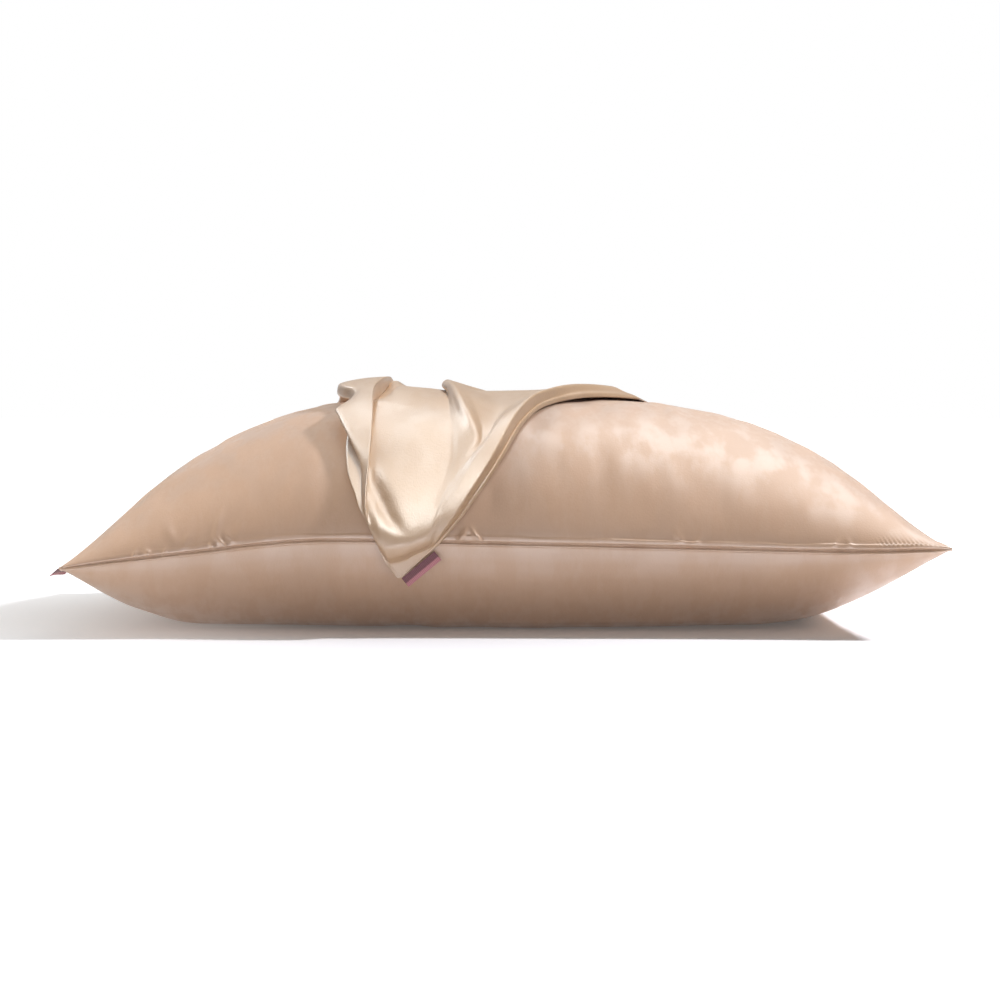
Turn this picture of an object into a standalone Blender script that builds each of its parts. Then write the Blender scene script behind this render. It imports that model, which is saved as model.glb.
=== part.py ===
"""A filled satin pillowcase lying flat, with a second, empty pillowcase draped over its middle.

The filled case is one solid with its crown, its drawn-in sides and a flat spot underneath.
The empty case hangs one corner down the front, passes over the crown in soft folds and
spreads down the back.  Both cases carry a small blank ribbon label in a seam.
"""
import math

import bpy
import numpy as np

MM = 0.001

# ---------------------------------------------------------------- filled case
HALF_LENGTH = 0.322          # middle to a corner tip, along X
HALF_DEPTH = 0.245           # middle to a corner tip, along Y
DRAW_IN_ENDS = 0.071         # share by which the short edges pull in at their middle
DRAW_IN_SIDES = 0.09         # share by which the long edges pull in at their middle
CROWN_RISE = 0.107           # crown above the edge seam
BELLY_DROP = 0.0846          # how far an unsupported belly would hang below the seam
FLOOR_ROUNDING = 0.008       # softness of the turn from the belly to its flat underside
LENGTH_STEPS = 34
DEPTH_STEPS = 18

# Height of the edge seam along the length, from the left tip (-1) to the right tip (1).
SEAM_STATION = (-1.0, -0.75, -0.4, 0.0, 0.45, 0.8, 1.0)
SEAM_HEIGHT = (0.0505, 0.060, 0.070, 0.0675, 0.0645, 0.0625, 0.0645)

# How full each end is: (1 - |u| ** power) ** bluntness, left and right half.
TOP_POWER = (2.37, 3.07)
TOP_BLUNTNESS = (0.54, 0.685)
BELLY_POWER = (3.64, 2.55)
BELLY_BLUNTNESS = (0.54, 0.505)
CROWN_SECTION = (2.3, 0.62)  # power and bluntness across the depth, upper half
BELLY_SECTION = (2.6, 0.55)

# ---------------------------------------------------------------- draped case
SHEET_THICKNESS = 1.6 * MM   # both layers of the empty case together
STEPS_DOWN_BACK = 12
STEPS_PAST_SEAM = 7
CREST = 268                  # distance over the filled case at which the crown is reached, mm

# The fold lines, from the left edge to the right edge: where each one lies across the cloth
# laid flat (mm), and how many steps the surface takes from it to the next one.
FOLD_LINES = (
    # name       cloth  steps
    ("margin",        0, 2),
    ("tuck",         14, 2),
    ("hem",          28, 2),
    ("roll",         38, 3),
    ("flap",         60, 2),
    ("rim",          86, 2),
    ("groove",       94, 2),
    ("lip",         104, 3),
    ("panel",       122, 2),
    ("middle",      146, 3),
    ("crease",      170, 2),
    ("wall",        178, 2),
    ("ridge",       190, 2),
    ("flank",       202, 2),
    ("dip",         226, 3),
    ("slope",       258, 3),
    ("shoulder",    302, 2),
    ("band",        311, 2),
    ("edge",        322, 0),
)

# Sections through the drape.  "along" is the distance over the filled case's surface from its
# front seam, negative where the corner hangs below it; the other columns are X, all in mm.
# The sheet has a row of points at each section.
ACROSS = (
    # along, then one column for each fold line
    (-21, -83.4, -82.9, -82.3, -81.8, -81.2, -80.7, -80.1, -79.6, -79, -76.9,
     -74.6, -73.8, -73.3, -72.8, -72.2, -71.7, -71.1, -70.5, -70),
    (-15.5, -87.7, -85.5, -85, -84.4, -83.9, -83.3, -82.8, -82.2, -80.3, -75,
     -71.4, -70, -68.5, -67.3, -66.5, -66, -65.4, -64.9, -63.9),
    (-11, -89.9, -87.4, -86.9, -86.3, -85.8, -85.2, -84.7, -84.1, -80.9, -73.2,
     -68.5, -66.9, -65.1, -63.5, -62.5, -61.8, -61, -60.5, -58.9),
    (-5, -92.2, -90.7, -90.2, -89.6, -89.1, -88.5, -88, -87.4, -81.4, -70.9,
     -64.7, -62.7, -60.3, -58.5, -57.3, -56.2, -55, -54.4, -52.1),
    (2, -94.7, -94.2, -93.6, -93.1, -92.5, -92, -91.4, -90, -81.6, -68.6,
     -60.6, -57.9, -56, -54.3, -53.1, -52.6, -52, -48.2, -45),
    (10, -98.8, -98.2, -97.7, -97.2, -96.6, -96.1, -95.5, -92.3, -81.8, -66.6,
     -57, -53.6, -52, -50.6, -49.2, -48.7, -45.4, -41.2, -38),
    (20, -104.3, -102.5, -102, -101.4, -100.9, -100.3, -99.8, -94.6, -82.8, -65.1,
     -54, -49.7, -47.6, -46.2, -44.8, -42.6, -37.6, -33.4, -30.2),
    (31, -108.5, -104.4, -104, -103.2, -102.5, -102, -100.6, -96.2, -84.1, -64.3,
     -50.7, -45.6, -43.2, -41.3, -39.2, -35.7, -30.5, -26.3, -23.1),
    (43, -112.3, -105, -104.4, -103.2, -102.2, -101.3, -99.9, -96.9, -85.1, -63.8,
     -46.6, -41.2, -38.3, -36, -33.7, -29.8, -23.3, -19.1, -15.9),
    (56, -115.7, -105.5, -105.7, -103.7, -102.3, -100.5, -99.1, -96.9, -85.8, -64.1,
     -43.2, -37.7, -33.1, -30.3, -27.9, -23.8, -16.4, -12.2, -9),
    (70, -117.2, -106, -109.3, -106.1, -103.4, -99.9, -98.5, -96.3, -86.1, -64.5,
     -41.3, -35.2, -27.7, -24.2, -21.8, -17.8, -10.3, -6.1, -2.9),
    (85, -118.1, -107, -114.2, -110.1, -105.4, -99.4, -98, -95.8, -86.2, -65,
     -41, -34.7, -22.5, -18.4, -15.4, -11.8, -4.7, -0.5, 2.7),
    (100, -118.1, -108, -119, -114.2, -107.6, -99.4, -98, -95.8, -86.3, -65,
     -41, -34.5, -24, -17.2, -11.4, -7.2, 0, 4.2, 7.4),
    (115, -117, -108, -123.1, -117.7, -109.2, -99.4, -98, -95.8, -86.4, -65,
     -41.4, -35.1, -27.2, -18.7, -8.8, -3.3, 4.5, 8.7, 11.9),
    (130, -114, -108, -126.6, -120.8, -110.8, -99.9, -98.5, -96.3, -86.4, -65,
     -42.1, -36.7, -30.5, -20.5, -6.3, 1.4, 9.5, 13.7, 16.9),
    (146, -111.2, -108, -125.1, -119.6, -110.8, -100.4, -99, -96.8, -86.4, -64.8,
     -42.8, -38.4, -33.3, -22.7, -4.6, 5.8, 15.2, 19.4, 22.6),
    (162, -109.1, -108, -119.6, -116.2, -109.8, -100.9, -99.5, -96.8, -86.3, -64.3,
     -43.3, -40.1, -35.9, -24.9, -3.6, 10, 22.1, 26.3, 29.5),
    (178, -107.6, -109, -117.8, -115.1, -109.1, -101, -99.6, -95.6, -85.9, -63.6,
     -43.8, -41.8, -37.9, -27.6, -5, 12.8, 30.4, 34.1, 38.5),
    (194, -106.9, -114.1, -123.2, -119.8, -108.7, -99.9, -97.9, -92.8, -84.9, -62.8,
     -44.1, -43.3, -39.9, -30.3, -7.1, 15.3, 39.1, 43.2, 48.5),
    (212, -106.1, -120, -129.8, -126.9, -108.4, -97.4, -94.2, -89.6, -83.4, -61.3,
     -44.5, -45.7, -42, -33.6, -11.9, 16.8, 48.6, 53.8, 60.3),
    (230, -105.7, -121.6, -131.8, -129.4, -108.2, -94.6, -90.9, -87.6, -81.4, -60.2,
     -44.5, -48.4, -44.2, -36.3, -16.5, 17.9, 58.9, 66.1, 73.9),
    (249, -105.4, -122.3, -132.2, -129.9, -108.1, -92.5, -89.6, -86.7, -80.1, -59.1,
     -44.5, -49.7, -45.6, -37.9, -20, 19, 70.8, 80.4, 89.8),
    (268, -105, -123, -132.4, -130.2, -108, -91.2, -88.8, -86, -79.4, -58,
     -44.6, -50, -46, -38.6, -22, 20, 84, 96.4, 108),
)
# Height of the cloth's middle above the filled case at the same sections, mm.
RISE = (
    (-21, 3.2, 3.2, 3.3, 3.4, 3.5, 3.3, 3.4, 3.3, 3.3, 3.3, 3.3, 3.3, 3.3, 3.3, 3.3, 3.3, 3.3, 3.2, 3.2),
    (-15.5, 3.2, 3.3, 3.4, 3.6, 3.8, 4, 3.9, 5.3, 4.5, 3.5, 3.5, 3.4, 3.4, 3.4, 3.4, 3.4, 3.4, 3.2, 3.2),
    (-11, 3.2, 3.3, 3.6, 3.8, 4.2, 5.3, 8.2, 11.4, 11.6, 9.5, 4.3, 3.6, 3.5, 3.5, 3.5, 3.5, 3.5, 3.2, 3.2),
    (-5, 3.2, 3.4, 4, 4.6, 5.1, 8.2, 11.3, 14.1, 15.4, 14.3, 12, 10.9, 9.4, 7.1, 5.2, 3.6, 3.6, 3.3, 3.2),
    (2, 3, 3.4, 4.2, 4.9, 5.5, 9.3, 11.4, 13.2, 14.2, 14.6, 14.2, 13.9, 13.4, 12.3, 10.8, 9.9, 9.4, 3.6, 3),
    (10, 2.9, 3.4, 4.4, 5.1, 5.7, 9.2, 9.6, 11.4, 12.2, 12.7,
     12.8, 13.2, 13.4, 13, 12.8, 11.2, 10.6, 3.8, 2.9),
    (20, 2.7, 3.2, 4.5, 5.5, 6.2, 9.2, 7.1, 9.1, 10, 10.6,
     10, 11.1, 12.2, 12.4, 12.6, 11.2, 10.6, 3.9, 2.7),
    (31, 2.5, 3.1, 4.8, 6, 6.9, 9.4, 5.4, 7, 8.2, 8.9, 6.6, 8.5, 10.5, 11, 11.8, 11.2, 10.6, 3.9, 2.6),
    (43, 2.4, 3, 5.5, 6.9, 7.9, 9.8, 4.5, 5.4, 7, 7.5, 4.1, 6.6, 9.1, 10, 11, 11.2, 10.6, 3.9, 2.5),
    (56, 2.3, 3, 6.5, 8.3, 9.2, 10.5, 3.9, 4.4, 6.1, 6.8, 3.2, 5.9, 8.2, 8.9, 10.1, 11.2, 10.6, 3.9, 2.5),
    (70, 2.3, 3, 7.6, 9.6, 10.3, 11.1, 3.6, 3.9, 5.3, 6.1, 2.9, 5.5, 7.9, 7.5, 9, 11.2, 10.6, 3.9, 2.4),
    (85, 2.3, 3, 8.5, 10.5, 11.1, 11.6, 3.4, 3.6, 4.4, 5.4, 2.9, 5.3, 8.7, 5.5, 7.6, 11.1, 10.6, 3.9, 2.3),
    (100, 2.3, 3, 9.3, 11.1, 11.7, 11.9, 3.2, 3.4, 3.9, 5, 2.8, 5.2, 9.8, 4.6, 5.8, 10.4, 10.6, 3.9, 2.3),
    (115, 2.3, 3, 9.9, 11.5, 12.2, 12.2, 3.3, 3.7, 3.6, 4.6, 2.8, 5.3, 10.2, 5, 4.3, 9.5, 10.6, 3.9, 2.3),
    (130, 2.3, 3, 10.3, 11.9, 12.6, 12.5, 3.4, 4, 3.8, 4.4, 2.8, 5.5, 10.5, 5.5, 3.4, 8.2, 10.6, 3.9, 2.3),
    (146, 2.3, 3, 9.3, 11.9, 13, 12.8, 3.5, 4.8, 4.8, 4.2, 2.8, 5.9, 10.8, 6, 2.8, 6.7, 10.6, 4, 2.3),
    (162, 2.3, 3, 6.9, 11.6, 13.4, 13.3, 4.1, 6.5, 6.1, 4.1, 2.9, 6.4, 11, 6.5, 2.4, 5.3, 10.6, 4.3, 2.3),
    (178, 2.3, 3, 5.8, 12.2, 14, 14, 3.3, 5.6, 6.9, 4.1, 2.9, 6.8, 11.2, 7.2, 2.4, 4.2, 11.7, 4.7, 2.3),
    (194, 2.3, 3.2, 6.4, 13.8, 14.9, 14.8, 3, 3.9, 8, 4.5, 3, 7.3, 11.5, 7.9, 2.4, 3.4, 11.6, 5.2, 2.3),
    (212, 2.3, 3.4, 7.3, 14.5, 15.5, 15.6, 3.7, 5, 8.5, 5.1, 3, 7.6, 11.8, 8.5, 2.5, 3.5, 11.6, 6, 2.3),
    (230, 2.3, 3.4, 7.8, 14.4, 16, 16.2, 9.3, 10.6, 8.2, 5.1, 3, 7.6, 12, 9.2, 2.8, 3.8, 11.5, 6.4, 2.3),
    (249, 2.3, 3.4, 7.9, 14.2, 16.1, 15.9, 12.3, 12, 8, 5.1, 3, 7.9, 12.1, 9.6, 3.1, 4.2, 11, 6.5, 2.3),
    (268, 2.3, 3.4, 8, 14, 16.2, 15.6, 13.4, 12, 7.6, 5, 3, 8.4, 12.1, 9.6, 3.2, 4.6, 10.5, 6.5, 2.3),
)
# The soft valley that crosses the lower panel: its course as (distance, X, depth, half width).
VALLEY = (
    (-4, -69, 0.0, 6.0),
    (12, -82, 3.6, 9.0),
    (20, -87, 4.6, 9.5),
    (30, -92, 4.4, 9.0),
    (45, -97, 2.4, 7.0),
    (60, -99.5, 0.0, 5.0),
)
VALLEY_LEFT = (90, 102)      # places across the cloth between which it begins
BACK_RISE = 2.3              # height above the filled case down the back
SEAM_RISE = 1.8              # what it clears the back seam by on top of that
SEAM_REACH = 26              # over this distance to both sides of the seam
CORNER_ALONG = -27.5         # the hanging corner, below the front seam
CORNER_X = (-78.6, -76.6)    # its blunt tip, left and right
SPLAY_CENTRE = -12           # the cloth spreads away from this X behind the crown
SPLAY = 1.2                  # share by which it has spread where it reaches the back seam
SPLAY_DELAY = 1.7            # power of the distance behind the crown with which it spreads
FADE_END = 150               # distance behind the crown by which the front folds have died out
GATHER_START = 60            # where the soft gathers that replace them begin to rise
GATHER_END = 200             # where they are at their full height
# The gathers down the back, no two alike: place across the cloth, height and half width, mm.
GATHERS = (
    # place height half_width
    (17, 20, 16),
    (54, 31, 22),
    (95, 21, 18),
    (137, 32, 23),
    (179, 24, 18),
    (216, 29, 19),
    (262, 34, 25),
    (308, 22, 20),
)
# The far hem: how far over the filled case each part of it reaches, by place across the cloth.
HEM_PLACE = (0, 70, 140, 200, 260, 322)
HEM_REACH = (500, 565, 655, 715, 670, 580)
FLOOR_BEND = 26              # radius at which the hanging cloth turns onto the surface

# ---------------------------------------------------------------- labels
LABEL_LENGTH = 0.032
LABEL_WIDTH = 0.008
LABEL_THICKNESS = 0.001
PIECE_GAP = 0.0006
DRAPED_LABEL_START = 0.0015  # from the hanging corner to the label, along the edge
FILLED_LABEL_TILT = math.radians(42)   # how far it points below the horizontal

SATIN = (0.72, 0.53, 0.39, 1.0)
SATIN_PALE = (0.80, 0.64, 0.49, 1.0)
RIBBON = (0.42, 0.17, 0.18, 1.0)


def clear_scene():
    for item in list(bpy.data.objects):
        bpy.data.objects.remove(item, do_unlink=True)


def make_material(name, colour, roughness):
    material = bpy.data.materials.new(name)
    material.use_nodes = True
    shader = material.node_tree.nodes["Principled BSDF"]
    shader.inputs["Base Color"].default_value = colour
    shader.inputs["Roughness"].default_value = roughness
    shader.inputs["Metallic"].default_value = 0.0
    return material


def make_object(name, points, faces, material, smooth=True):
    mesh = bpy.data.meshes.new(name)
    mesh.from_pydata([tuple(point) for point in points], [], faces)
    mesh.materials.append(material)
    if smooth:
        mesh.shade_smooth()
    item = bpy.data.objects.new(name, mesh)
    bpy.context.collection.objects.link(item)
    return item


def even_curve(knots, values, at):
    """A smooth curve through the values that never swings past them (monotone cubic)."""
    knots = np.asarray(knots, float)
    values = np.asarray(values, float)
    at = np.clip(np.asarray(at, float), knots[0], knots[-1])
    steps = np.diff(knots)
    slopes = np.diff(values, axis=0) / steps.reshape((-1,) + (1,) * (values.ndim - 1))
    tangents = np.zeros_like(values)
    before, after = slopes[:-1], slopes[1:]
    same_way = before * after > 0
    total = np.where(same_way, before + after, 1.0)
    tangents[1:-1] = np.where(same_way, 2 * before * after / total, 0.0)
    tangents[0], tangents[-1] = slopes[0], slopes[-1]
    left = np.clip(np.searchsorted(knots, at, side="right") - 1, 0, len(steps) - 1)
    width = steps[left]
    t = (at - knots[left]) / width
    if values.ndim > 1:
        width, t = width[:, None], t[:, None]
    start = (2 * t**3 - 3 * t**2 + 1) * values[left] + (t**3 - 2 * t**2 + t) * width * tangents[left]
    end = (3 * t**2 - 2 * t**3) * values[left + 1] + (t**3 - t**2) * width * tangents[left + 1]
    return start + end


def soft_step(share):
    """Rises smoothly from 0 to 1 as the share does."""
    share = np.clip(share, 0, 1)
    return share**2 * (3 - 2 * share)


# ---------------------------------------------------------------- filled case
def end_fullness(u, power, bluntness):
    """Share of the full height at u, falling to nothing at both short edges."""
    power = np.where(u < 0, power[0], power[1])
    bluntness = np.where(u < 0, bluntness[0], bluntness[1])
    return np.clip(1 - np.abs(u) ** power, 0, 1) ** bluntness


def side_fullness(v, section):
    power, bluntness = section
    return np.clip(1 - np.abs(v) ** power, 0, 1) ** bluntness


def outline(u, v):
    """X and Y of a point of the case: straight corners, edges drawn in between them."""
    x = HALF_LENGTH * u * (1 - DRAW_IN_ENDS * (1 - v**2) * u**2)
    y = HALF_DEPTH * v * (1 - DRAW_IN_SIDES * (1 - u**2) * v**2)
    return x, y


def upper_surface(u, v):
    u, v = np.broadcast_arrays(np.asarray(u, float), np.asarray(v, float))
    x, y = outline(u, v)
    seam = even_curve(SEAM_STATION, SEAM_HEIGHT, u.ravel()).reshape(u.shape)
    fullness = end_fullness(u, TOP_POWER, TOP_BLUNTNESS) * side_fullness(v, CROWN_SECTION)
    return np.stack([x, y, seam + CROWN_RISE * fullness], axis=-1)


def lower_surface(u, v):
    x, y = outline(u, v)
    seam = even_curve(SEAM_STATION, SEAM_HEIGHT, u.ravel()).reshape(u.shape)
    fullness = end_fullness(u, BELLY_POWER, BELLY_BLUNTNESS) * side_fullness(v, BELLY_SECTION)
    hanging = seam - BELLY_DROP * fullness
    rounded = (hanging + FLOOR_ROUNDING) ** 2 / (4 * FLOOR_ROUNDING)
    z = np.where(hanging > FLOOR_ROUNDING, hanging, np.where(hanging < -FLOOR_ROUNDING, 0, rounded))
    return np.stack([x, y, z], axis=-1)


def filled_case(material):
    """One closed solid: an upper and a lower surface that share the edge seam."""
    u = np.sin(np.linspace(-math.pi / 2, math.pi / 2, LENGTH_STEPS + 1))
    v = np.sin(np.linspace(-math.pi / 2, math.pi / 2, DEPTH_STEPS + 1))
    u_grid, v_grid = np.meshgrid(u, v, indexing="ij")
    upper = upper_surface(u_grid, v_grid)
    lower = lower_surface(u_grid, v_grid)
    rows, columns = u_grid.shape
    points = list(upper.reshape(-1, 3))

    def upper_index(i, j):
        return i * columns + j

    lower_inner = {}
    for i in range(1, rows - 1):
        for j in range(1, columns - 1):
            lower_inner[i, j] = len(points)
            points.append(lower[i, j])

    def lower_index(i, j):
        return lower_inner.get((i, j), upper_index(i, j))

    faces = []
    for i in range(rows - 1):
        for j in range(columns - 1):
            ring = ((i, j), (i + 1, j), (i + 1, j + 1), (i, j + 1))
            faces.append([upper_index(*corner) for corner in ring])
            faces.append([lower_index(*corner) for corner in reversed(ring)])
    return make_object("filled_case", points, faces, material)


# ---------------------------------------------------------------- draped case
def middle_arc():
    """Distance over the crown, from the front seam to the back one, as a table against v."""
    v = np.sin(np.linspace(-math.pi / 2, math.pi / 2, 1201))
    section = upper_surface(np.zeros_like(v), v)
    lengths = np.linalg.norm(np.diff(section, axis=0), axis=1)
    return v, np.concatenate([[0.0], np.cumsum(lengths)])


ARC_V, ARC_LENGTH = middle_arc()
FULL_ARC = ARC_LENGTH[-1]


def past_the_seam(distance, seam_height):
    """Cloth past a seam: it hangs, bends outwards and lies on the surface.

    Returns how far out it has come, how far down, and its tilt from hanging to lying.
    """
    bend = FLOOR_BEND * MM
    hanging = np.minimum(distance, seam_height - bend)
    tilt = np.clip((distance - hanging) / bend, 0, math.pi / 2)
    lying = np.maximum(distance - hanging - bend * math.pi / 2, 0)
    return bend * (1 - np.cos(tilt)) + lying, hanging + bend * np.sin(tilt), tilt


def over_filled_case(x, along, rise):
    """Point at X, at a distance over the filled case from its front seam, a rise above it."""
    x, along, rise = np.broadcast_arrays(x, along, rise)
    margin = 1e-4
    on_case = np.clip(along, margin, FULL_ARC - margin)
    u = x / HALF_LENGTH
    v = np.interp(on_case, ARC_LENGTH, ARC_V)
    small = 1e-3
    v_before = np.interp(np.clip(on_case - small, 0, FULL_ARC), ARC_LENGTH, ARC_V)
    v_after = np.interp(np.clip(on_case + small, 0, FULL_ARC), ARC_LENGTH, ARC_V)
    along_x = upper_surface(u + small, v) - upper_surface(u - small, v)
    along_y = upper_surface(u, v_after) - upper_surface(u, v_before)
    normal = np.cross(along_x, along_y)
    normal /= np.linalg.norm(normal, axis=-1, keepdims=True)
    point = upper_surface(u, v)
    out, down, tilt = past_the_seam(np.abs(along - on_case), point[..., 2])
    side = np.sign(v)
    point[..., 1] += side * out
    point[..., 2] -= down
    lying = np.sin(tilt)[..., None]
    normal = normal * np.cos(tilt)[..., None] + np.array([0.0, 0.0, 1.0]) * lying
    return point + normal * rise[..., None]


def sections():
    """The two section tables with the corner's row put in front, as arrays."""
    names = len(FOLD_LINES)
    corner_x = np.linspace(CORNER_X[0], CORNER_X[1], names)
    corner_rise = np.full(names, RISE[0][1])
    stations = [CORNER_ALONG] + [row[0] for row in ACROSS]
    across = np.array([corner_x] + [row[1:] for row in ACROSS])
    rise = np.array([corner_rise] + [row[1:] for row in RISE])
    return np.array(stations, float), across, rise


def cloth_places():
    """Places across the flat cloth at which the surface has a line of points."""
    places = []
    for (_, start, steps), (_, end, _) in zip(FOLD_LINES, FOLD_LINES[1:]):
        places += list(np.linspace(start, end, steps, endpoint=False))
    return np.array(places + [FOLD_LINES[-1][1]], float)


def valley_depth(x, front, places):
    """How far the valley lowers the cloth at points given by X, section and place across it."""
    along, valley_x, depth, half_width = np.array(VALLEY).T
    from_valley = x - np.interp(front, along, valley_x)[:, None]
    shape = np.exp(-((from_valley / np.interp(front, along, half_width)[:, None]) ** 2))
    begun = soft_step((places - VALLEY_LEFT[0]) / (VALLEY_LEFT[1] - VALLEY_LEFT[0]))
    return np.interp(front, along, depth)[:, None] * shape * begun


def drape_grid():
    """Middle surface of the draped case, rows from the hanging corner to the far hem."""
    front, x_lines, rise_lines = sections()
    knots = [line[1] for line in FOLD_LINES]
    places = cloth_places()
    x_front = even_curve(knots, x_lines.T, places).T
    rise_front = even_curve(knots, rise_lines.T, places).T
    rise_front = rise_front - valley_depth(x_front, front, places)
    rows = [over_filled_case(x_front * MM, front[:, None] * MM, rise_front * MM)]

    reach = even_curve(HEM_PLACE, HEM_REACH, places)
    share = places / places[-1]
    crest_x, crest_rise = x_front[-1], rise_front[-1]
    even_x = crest_x.min() + (crest_x.max() - crest_x.min()) * share
    gathers = np.zeros_like(places)
    for place, height, half_width in GATHERS:
        gathers += height * (1 - soft_step(np.abs(places - place) / half_width))
    back_seam = FULL_ARC / MM
    seam_stop = np.minimum(back_seam, CREST + 0.8 * (reach - CREST))
    down_back = np.sin(np.linspace(0, math.pi / 2, STEPS_DOWN_BACK + 1))[1:]
    past_seam = np.linspace(0, 1, STEPS_PAST_SEAM + 1)[1:]
    alongs = [CREST + (seam_stop - CREST) * part for part in down_back]
    alongs += [seam_stop + (reach - seam_stop) * part for part in past_seam]
    for along in alongs:
        behind = along - CREST
        settled = soft_step(behind / FADE_END)
        x = crest_x + (even_x - crest_x) * settled
        spread = SPLAY * (behind / (back_seam - CREST)) ** SPLAY_DELAY
        x = SPLAY_CENTRE + (x - SPLAY_CENTRE) * (1 + spread)
        height = BACK_RISE + (crest_rise - BACK_RISE) * (1 - settled)
        height += gathers * soft_step((behind - GATHER_START) / (GATHER_END - GATHER_START))
        height += SEAM_RISE * (1 - soft_step(np.abs(along - back_seam) / SEAM_REACH))
        rows.append(over_filled_case(x * MM, along * MM, height * MM)[None])
    return np.concatenate(rows)


def sheet_solid(name, grid, thickness, material):
    """Closed solid of even thickness about a grid of points."""
    rows, columns = grid.shape[:2]
    across = np.gradient(grid, axis=1)
    along = np.gradient(grid, axis=0)
    normal = np.cross(across, along)
    normal /= np.linalg.norm(normal, axis=-1, keepdims=True)
    outer = grid + normal * thickness / 2
    inner = grid - normal * thickness / 2
    points = list(outer.reshape(-1, 3)) + list(inner.reshape(-1, 3))
    below = rows * columns

    def index(i, j):
        return i * columns + j

    faces = []
    for i in range(rows - 1):
        for j in range(columns - 1):
            ring = [index(i, j), index(i, j + 1), index(i + 1, j + 1), index(i + 1, j)]
            faces.append(ring)
            faces.append([below + corner for corner in reversed(ring)])
    border = [index(0, j) for j in range(columns - 1)]
    border += [index(i, columns - 1) for i in range(rows - 1)]
    border += [index(rows - 1, j) for j in range(columns - 1, 0, -1)]
    border += [index(i, 0) for i in range(rows - 1, 0, -1)]
    for start, end in zip(border, border[1:] + border[:1]):
        faces.append([end, start, below + start, below + end])
    return make_object(name, points, faces, material)


# ---------------------------------------------------------------- labels
def ribbon_solid(name, seam, outward, material):
    """Flat blank ribbon along a stretch of seam points, reaching out from the seam."""
    seam = np.asarray(seam, float)
    run = (seam[-1] - seam[0]) / np.linalg.norm(seam[-1] - seam[0])
    outward = np.asarray(outward, float)
    outward = outward - run * (outward @ run)
    outward /= np.linalg.norm(outward)
    face = np.cross(run, outward) * LABEL_THICKNESS / 2
    bulge = max((point - seam[0]) @ outward for point in seam)
    inner = seam[[0, -1]] + outward * (bulge + PIECE_GAP)
    outer = inner[::-1] + outward * LABEL_WIDTH
    corners = list(inner) + list(outer)
    points = [corner + face for corner in corners] + [corner - face for corner in corners]
    faces = [(0, 1, 2, 3), (7, 6, 5, 4), (1, 0, 4, 5), (2, 1, 5, 6), (3, 2, 6, 7), (0, 3, 7, 4)]
    return make_object(name, points, faces, material, smooth=False)


def filled_case_label(material):
    """Sewn into the short edge beside the front left corner, pointing out and down."""
    seam = upper_surface(-1.0, np.linspace(-0.995, LABEL_LENGTH / HALF_DEPTH - 0.995, 7))
    outward = (-math.cos(FILLED_LABEL_TILT), 0.0, -math.sin(FILLED_LABEL_TILT))
    return ribbon_solid("filled_case_label", seam, outward, material)


def draped_case_label(grid, material):
    """Sewn into the right edge just above the hanging corner."""
    edge = grid[:, -1]
    distance = np.concatenate([[0], np.cumsum(np.linalg.norm(np.diff(edge, axis=0), axis=1))])
    stretch = np.linspace(DRAPED_LABEL_START, DRAPED_LABEL_START + LABEL_LENGTH, 9)
    seam = np.stack([np.interp(stretch, distance, edge[:, axis]) for axis in range(3)], axis=-1)
    return ribbon_solid("draped_case_label", seam, (1.0, 0.0, -1.0), material)


def main():
    clear_scene()
    satin = make_material("satin", SATIN, 0.35)
    satin_pale = make_material("satin_pale", SATIN_PALE, 0.3)
    ribbon = make_material("label_ribbon", RIBBON, 0.7)
    filled_case(satin)
    grid = drape_grid()
    sheet_solid("draped_case", grid, SHEET_THICKNESS, satin_pale)
    filled_case_label(ribbon)
    draped_case_label(grid, ribbon)


main()
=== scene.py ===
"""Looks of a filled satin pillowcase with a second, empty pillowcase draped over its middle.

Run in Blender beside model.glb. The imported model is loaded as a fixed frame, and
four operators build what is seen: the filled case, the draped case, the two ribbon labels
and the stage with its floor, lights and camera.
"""
import math

import bpy
import numpy as np
from bpy.props import FloatProperty, FloatVectorProperty, PointerProperty
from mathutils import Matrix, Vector


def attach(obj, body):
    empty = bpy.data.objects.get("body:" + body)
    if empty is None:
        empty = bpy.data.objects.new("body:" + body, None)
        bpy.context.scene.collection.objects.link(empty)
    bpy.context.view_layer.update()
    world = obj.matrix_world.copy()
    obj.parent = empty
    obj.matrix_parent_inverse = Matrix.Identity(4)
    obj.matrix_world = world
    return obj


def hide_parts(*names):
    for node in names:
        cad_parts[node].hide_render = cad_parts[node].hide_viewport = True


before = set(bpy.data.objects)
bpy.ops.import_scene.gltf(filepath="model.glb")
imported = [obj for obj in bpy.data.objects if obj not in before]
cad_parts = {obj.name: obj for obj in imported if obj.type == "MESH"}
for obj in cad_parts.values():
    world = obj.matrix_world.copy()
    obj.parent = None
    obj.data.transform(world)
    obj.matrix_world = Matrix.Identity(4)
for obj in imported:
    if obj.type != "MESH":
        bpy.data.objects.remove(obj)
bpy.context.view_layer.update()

bl_info = {
    "name": "Satin pillowcase pair",
    "version": (1, 0, 0),
    "blender": (4, 5, 0),
    "location": "View3D > Sidebar > Pillowcase",
    "description": "Builds a filled satin pillowcase with a second one draped over it",
    "category": "Object",
}

MM = 0.001

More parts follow.
